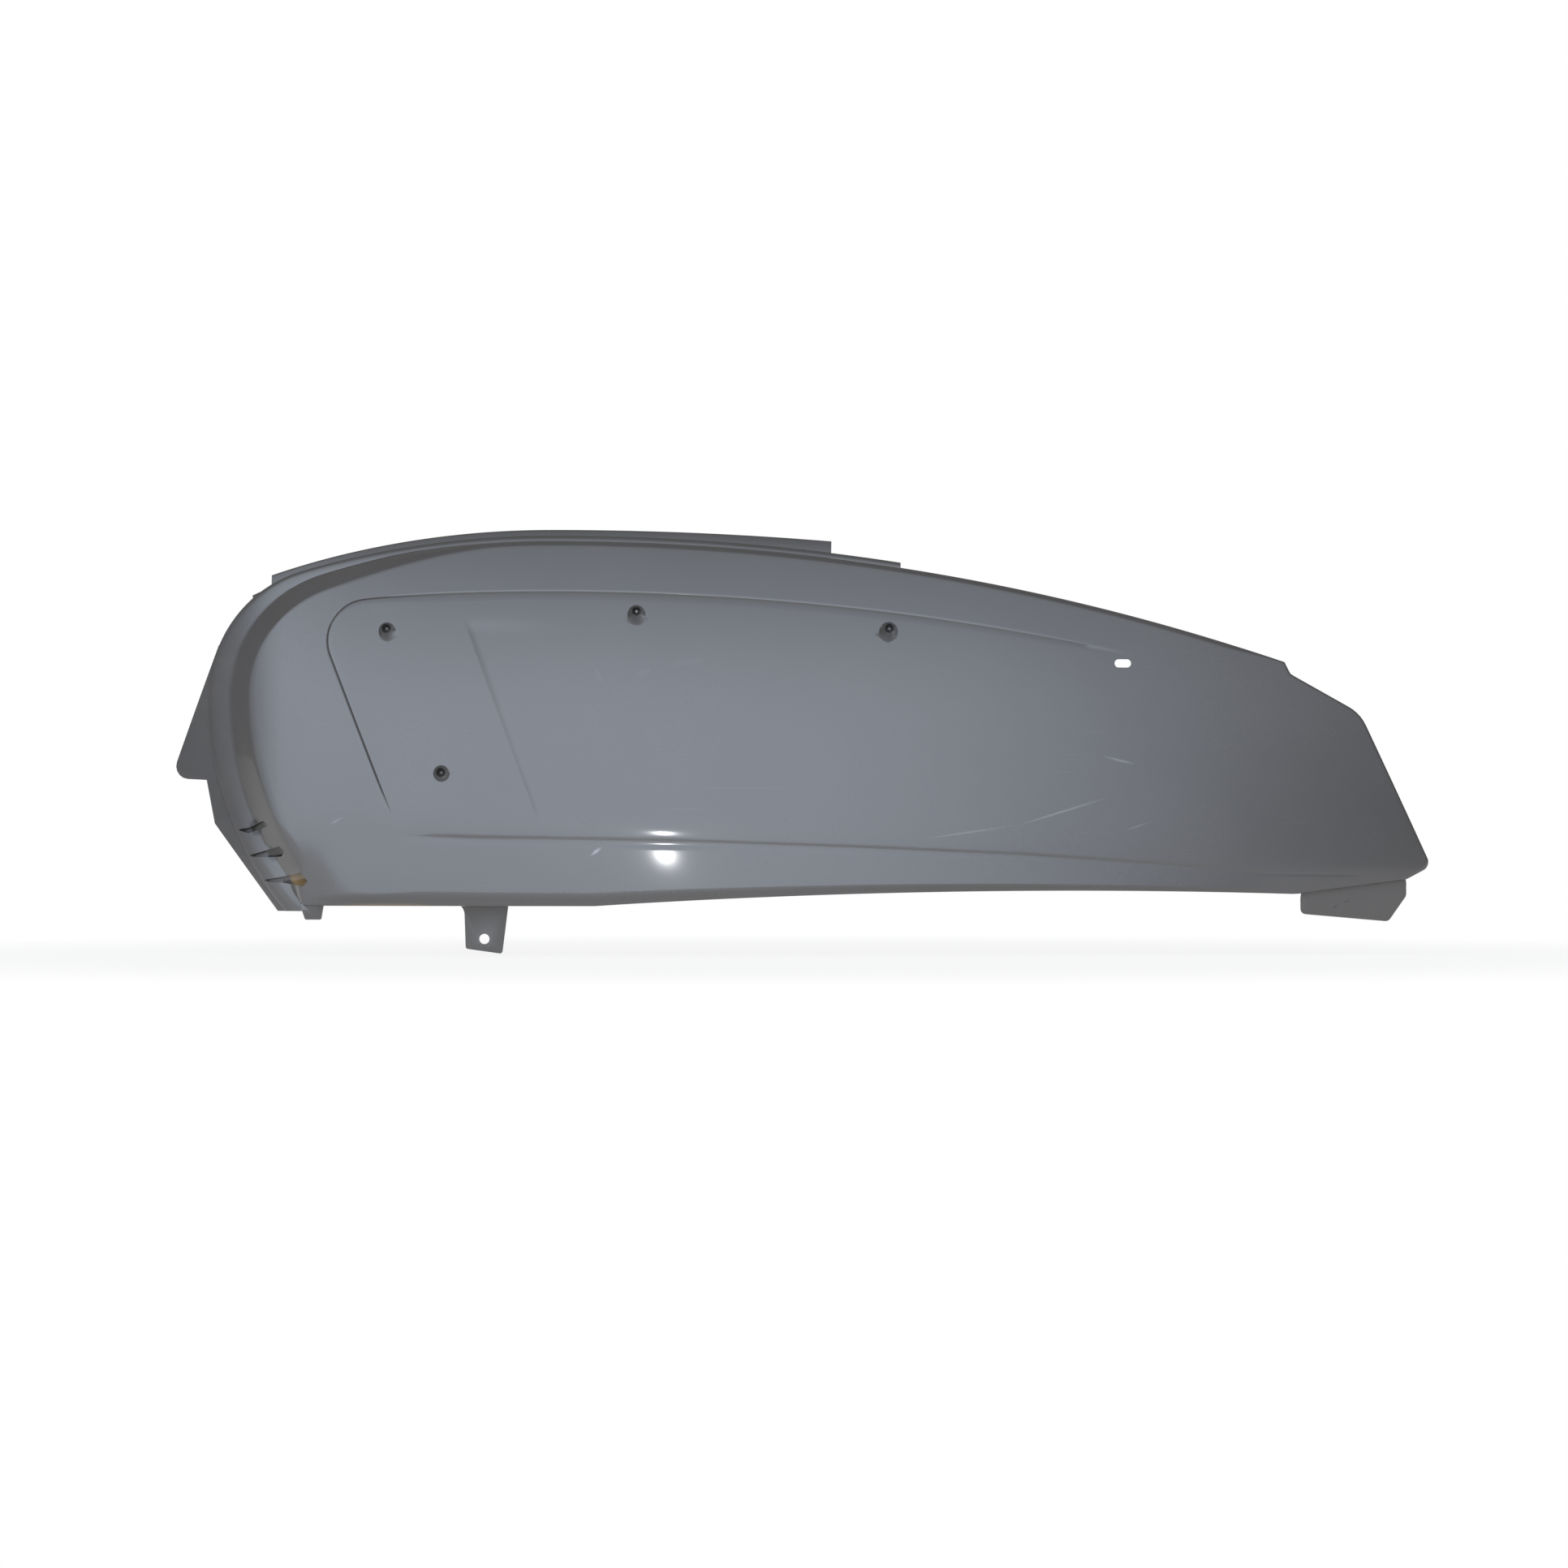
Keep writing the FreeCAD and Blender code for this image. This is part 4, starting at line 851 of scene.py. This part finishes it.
MARKS = [(263, 58, 29, 0.9, 8, 0.16), (313, 69, 31, 0.9, 17, 0.2), (344.5, 96.8, 11, 1, -14, 0.2),
         (354, 61, 10, 0.8, 18, 0.12), (61, 47.6, 4.4, 1.3, 38, 0.6), (62, 143, 8, 2.2, -60, 0.03),
         (86, 144, 7, 3, 25, 0.025), (110, 150, 15, 3, 8, 0.025), (-80, 64, 5, 0.9, 30, 0.16)]
SCUFF, EDGE_BROWN, NICK = (0.55, 0.56, 0.58, 1), (0.24, 0.17, 0.09, 1), (0.03, 0.03, 0.03, 1)
# The near-black colour below is painted shade for the floors of the two upper gills.
TAN, GILL_SHADE = (0.30, 0.20, 0.09, 1), (0.012, 0.011, 0.01, 1)
scratches = hairs(0.42, 9, 0.7, 0.78) + hairs(-0.6, 12, 0.71, 0.79) + hairs(1.25, 10, 0.72, 0.8)
worn = scratches * 0.03
for mark in MARKS:
    worn = worn + smudge(*mark)
outside = start.node("ShaderNodeAttribute", output=2, settings={"attribute_name": "outer_side"})
worn = worn * outside
marked = dusted.tint(worn, SCUFF)
# A brown line is tinted along the underside of the bottom edge, between the hook and the fixing tab.
brown_edged = marked.tint(smudge(-52, 18.2, 38, 1.8, 0, 0.75), EDGE_BROWN)
nicks = smudge(463.3, 17.2, 2.6, 0.9, 40, 0.8) + smudge(469.5, 19.8, 2.6, 0.9, 25, 0.8)
colour = brown_edged.tint(nicks, NICK)
# Each gill floor is tinted round its spot: the lowest one tan, the two upper ones near-black, which is painted
# shade in the pockets.
for gill_floor, inside in zip(gill_floors, [TAN, GILL_SHADE, GILL_SHADE]):
    reach = start.node("ShaderNodeVectorMath", output=1, settings={"operation": "DISTANCE"}, i0=start,
                       i1=gill_floor)
    colour = colour.tint(1.0 - reach.ramp(0.004, 0.0062), inside)
tree.links.new(colour.socket, shader.inputs["Base Color"])
print(len(MARKS), "wiped marks")

# %% Gloss and orange peel
rough = 0.24 + clouds * 0.04 + grime * 0.04 + worn * 0.4 + nose * 0.4
tree.links.new(rough.socket, shader.inputs["Roughness"])
peel = start.node("ShaderNodeTexNoise", Vector=start, Scale=240.0, Detail=1.0, Roughness=0.4)
bumped = start.node("ShaderNodeBump", Height=peel + scratches * -0.15, Strength=0.05, Distance=0.0005)
tree.links.new(bumped.socket, shader.inputs["Normal"])
gloss = 0.9 - 0.75 * nose
tree.links.new(gloss.socket, shader.inputs["Coat Weight"])
shader.inputs["Coat Roughness"].default_value = 0.07
panel.data.materials.clear()
panel.data.materials.append(finish)
print("finish", finish.name, "with", len(tree.nodes), "nodes")

# %% [markdown]
# ## Studio
# The photograph is a flash picture on plain white: a bright face, edges that fall away into darker grey, and
# small sharp highlights. Two big planes stand for the room. They are white for the camera and in reflections, and
# lit as matt paint for all other rays, so the floor still takes the soft shadow.

# %% Floor and backdrop
MIDDLE_X, FLOOR_Z, BACKDROP_Y = 0.16, -0.0095, 5.0


def studio_white(name, fade_start, fade_end):
    made = bpy.data.materials.new(name)
    made.use_nodes = True
    nodes, links = made.node_tree.nodes, made.node_tree.links
    matt = nodes["Principled BSDF"]
    matt.inputs["Base Color"].default_value = (0.8, 0.8, 0.8, 1)
    matt.inputs["Roughness"].default_value = 0.9
    rays = nodes.new("ShaderNodeLightPath")
    camera_ray, glossy_ray, clear_ray = [
        Wire(made.node_tree, rays.outputs[f"Is {kind} Ray"]) for kind in ("Camera", "Glossy", "Transmission")]
    mirror_rays = glossy_ray + clear_ray
    place = Wire(made.node_tree, nodes.new("ShaderNodeTexCoord").outputs["Object"])
    away = place.node("ShaderNodeVectorMath", output=1, settings={"operation": "DISTANCE"}, i0=place,
                      i1=(MIDDLE_X, 0, 0))
    white = (camera_ray + mirror_rays) * (0.88 + 0.12 * away.ramp(fade_start, fade_end))
    glow = place.node("ShaderNodeEmission", Strength=1.0)
    mixed = place.node("ShaderNodeMixShader", i0=white, i1=Wire(made.node_tree, matt.outputs[0]), i2=glow)
    links.new(mixed.socket, nodes["Material Output"].inputs["Surface"])
    return made


floor_mesh = bmesh.new()
bmesh.ops.create_grid(floor_mesh, x_segments=2, y_segments=2, size=4.6)
bmesh.ops.translate(floor_mesh, verts=floor_mesh.verts, vec=(MIDDLE_X, 0.5, FLOOR_Z))
floor = keep("floor", floor_mesh, bpy.context.scene.collection)
floor.data.materials.append(studio_white("pale_floor", 0.35, 0.75))
wall_mesh = bmesh.new()
bmesh.ops.create_grid(wall_mesh, x_segments=2, y_segments=2, size=1.5)
bmesh.ops.rotate(wall_mesh, verts=wall_mesh.verts, cent=(0, 0, 0),
                 matrix=Matrix.Rotation(math.pi / 2, 3, "X"))
bmesh.ops.translate(wall_mesh, verts=wall_mesh.verts, vec=(MIDDLE_X, BACKDROP_Y, 1.4))
backdrop = keep("backdrop", wall_mesh, bpy.context.scene.collection)
backdrop.data.materials.append(studio_white("pale_backdrop", 0.1, 0.2))
print("floor", FLOOR_Z, "m up, backdrop", BACKDROP_Y, "m back")

# %% [markdown]
# ## Light and camera
# A soft window of cool light in the world stands for the bright room in front of the panel: it fills the face and
# fades towards the tail. A small lamp by the camera is the flash and makes the one sharp highlight. The camera
# stands far off with a long lens, so nose and tail keep their places as in the straight-on photograph.

# %% Soft light from the front
DIM, COOL, WINDOW_STRENGTH = (0.075, 0.072, 0.07, 1), (0.89, 1, 1.17, 1), 2.5
world = bpy.data.worlds.new("studio")
world.use_nodes = True
bpy.context.scene.world = world
aim = Wire(world.node_tree, world.node_tree.nodes.new("ShaderNodeTexCoord").outputs["Generated"])
tailward, inward, upward = [aim.node("ShaderNodeSeparateXYZ", output=index, Vector=aim) for index in range(3)]
sideways = tailward.ramp(-0.95, -0.68) * (1.0 - tailward.ramp(0.1, 0.73))
upright = upward.ramp(-0.25, -0.04) * (1.0 - upward.ramp(0.4, 1.05))
window = sideways * upright * (1.0 - inward.ramp(-0.35, 0.0))
sky = aim.node("ShaderNodeMix", output=2, settings={"data_type": "RGBA"}, i0=window, i6=DIM, i7=COOL)
backlight = world.node_tree.nodes["Background"]
world.node_tree.links.new(sky.socket, backlight.inputs["Color"])
backlight.inputs["Strength"].default_value = WINDOW_STRENGTH
print("window of soft light in front")

# %% Flash
FLASH_PLACE, FLASH_AIM = Vector((-0.054, -4.72, 0.34)), Vector((0.15, 0, 0.09))
flash = bpy.data.objects.new("flash", bpy.data.lights.new("flash", "AREA"))
flash.data.shape, flash.data.size, flash.data.energy = "DISK", 0.03, 2.3
flash.location = FLASH_PLACE
flash.rotation_euler = (FLASH_AIM - FLASH_PLACE).to_track_quat("-Z", "Y").to_euler()
bpy.context.scene.collection.objects.link(flash)
print("flash", round(flash.location.length, 2), "m away")

# %% Camera
camera = bpy.data.objects.new("camera", bpy.data.cameras.new("camera"))
camera.data.lens = 200
camera.data.sensor_width = 36
camera.location = (0.1624, -4.722, 0.084)
camera.rotation_euler = (math.pi / 2, 0, 0)
bpy.context.scene.collection.objects.link(camera)
bpy.context.scene.camera = camera
bpy.context.scene.view_settings.view_transform = "Standard"
print("camera with a", round(camera.data.lens), "mm lens")
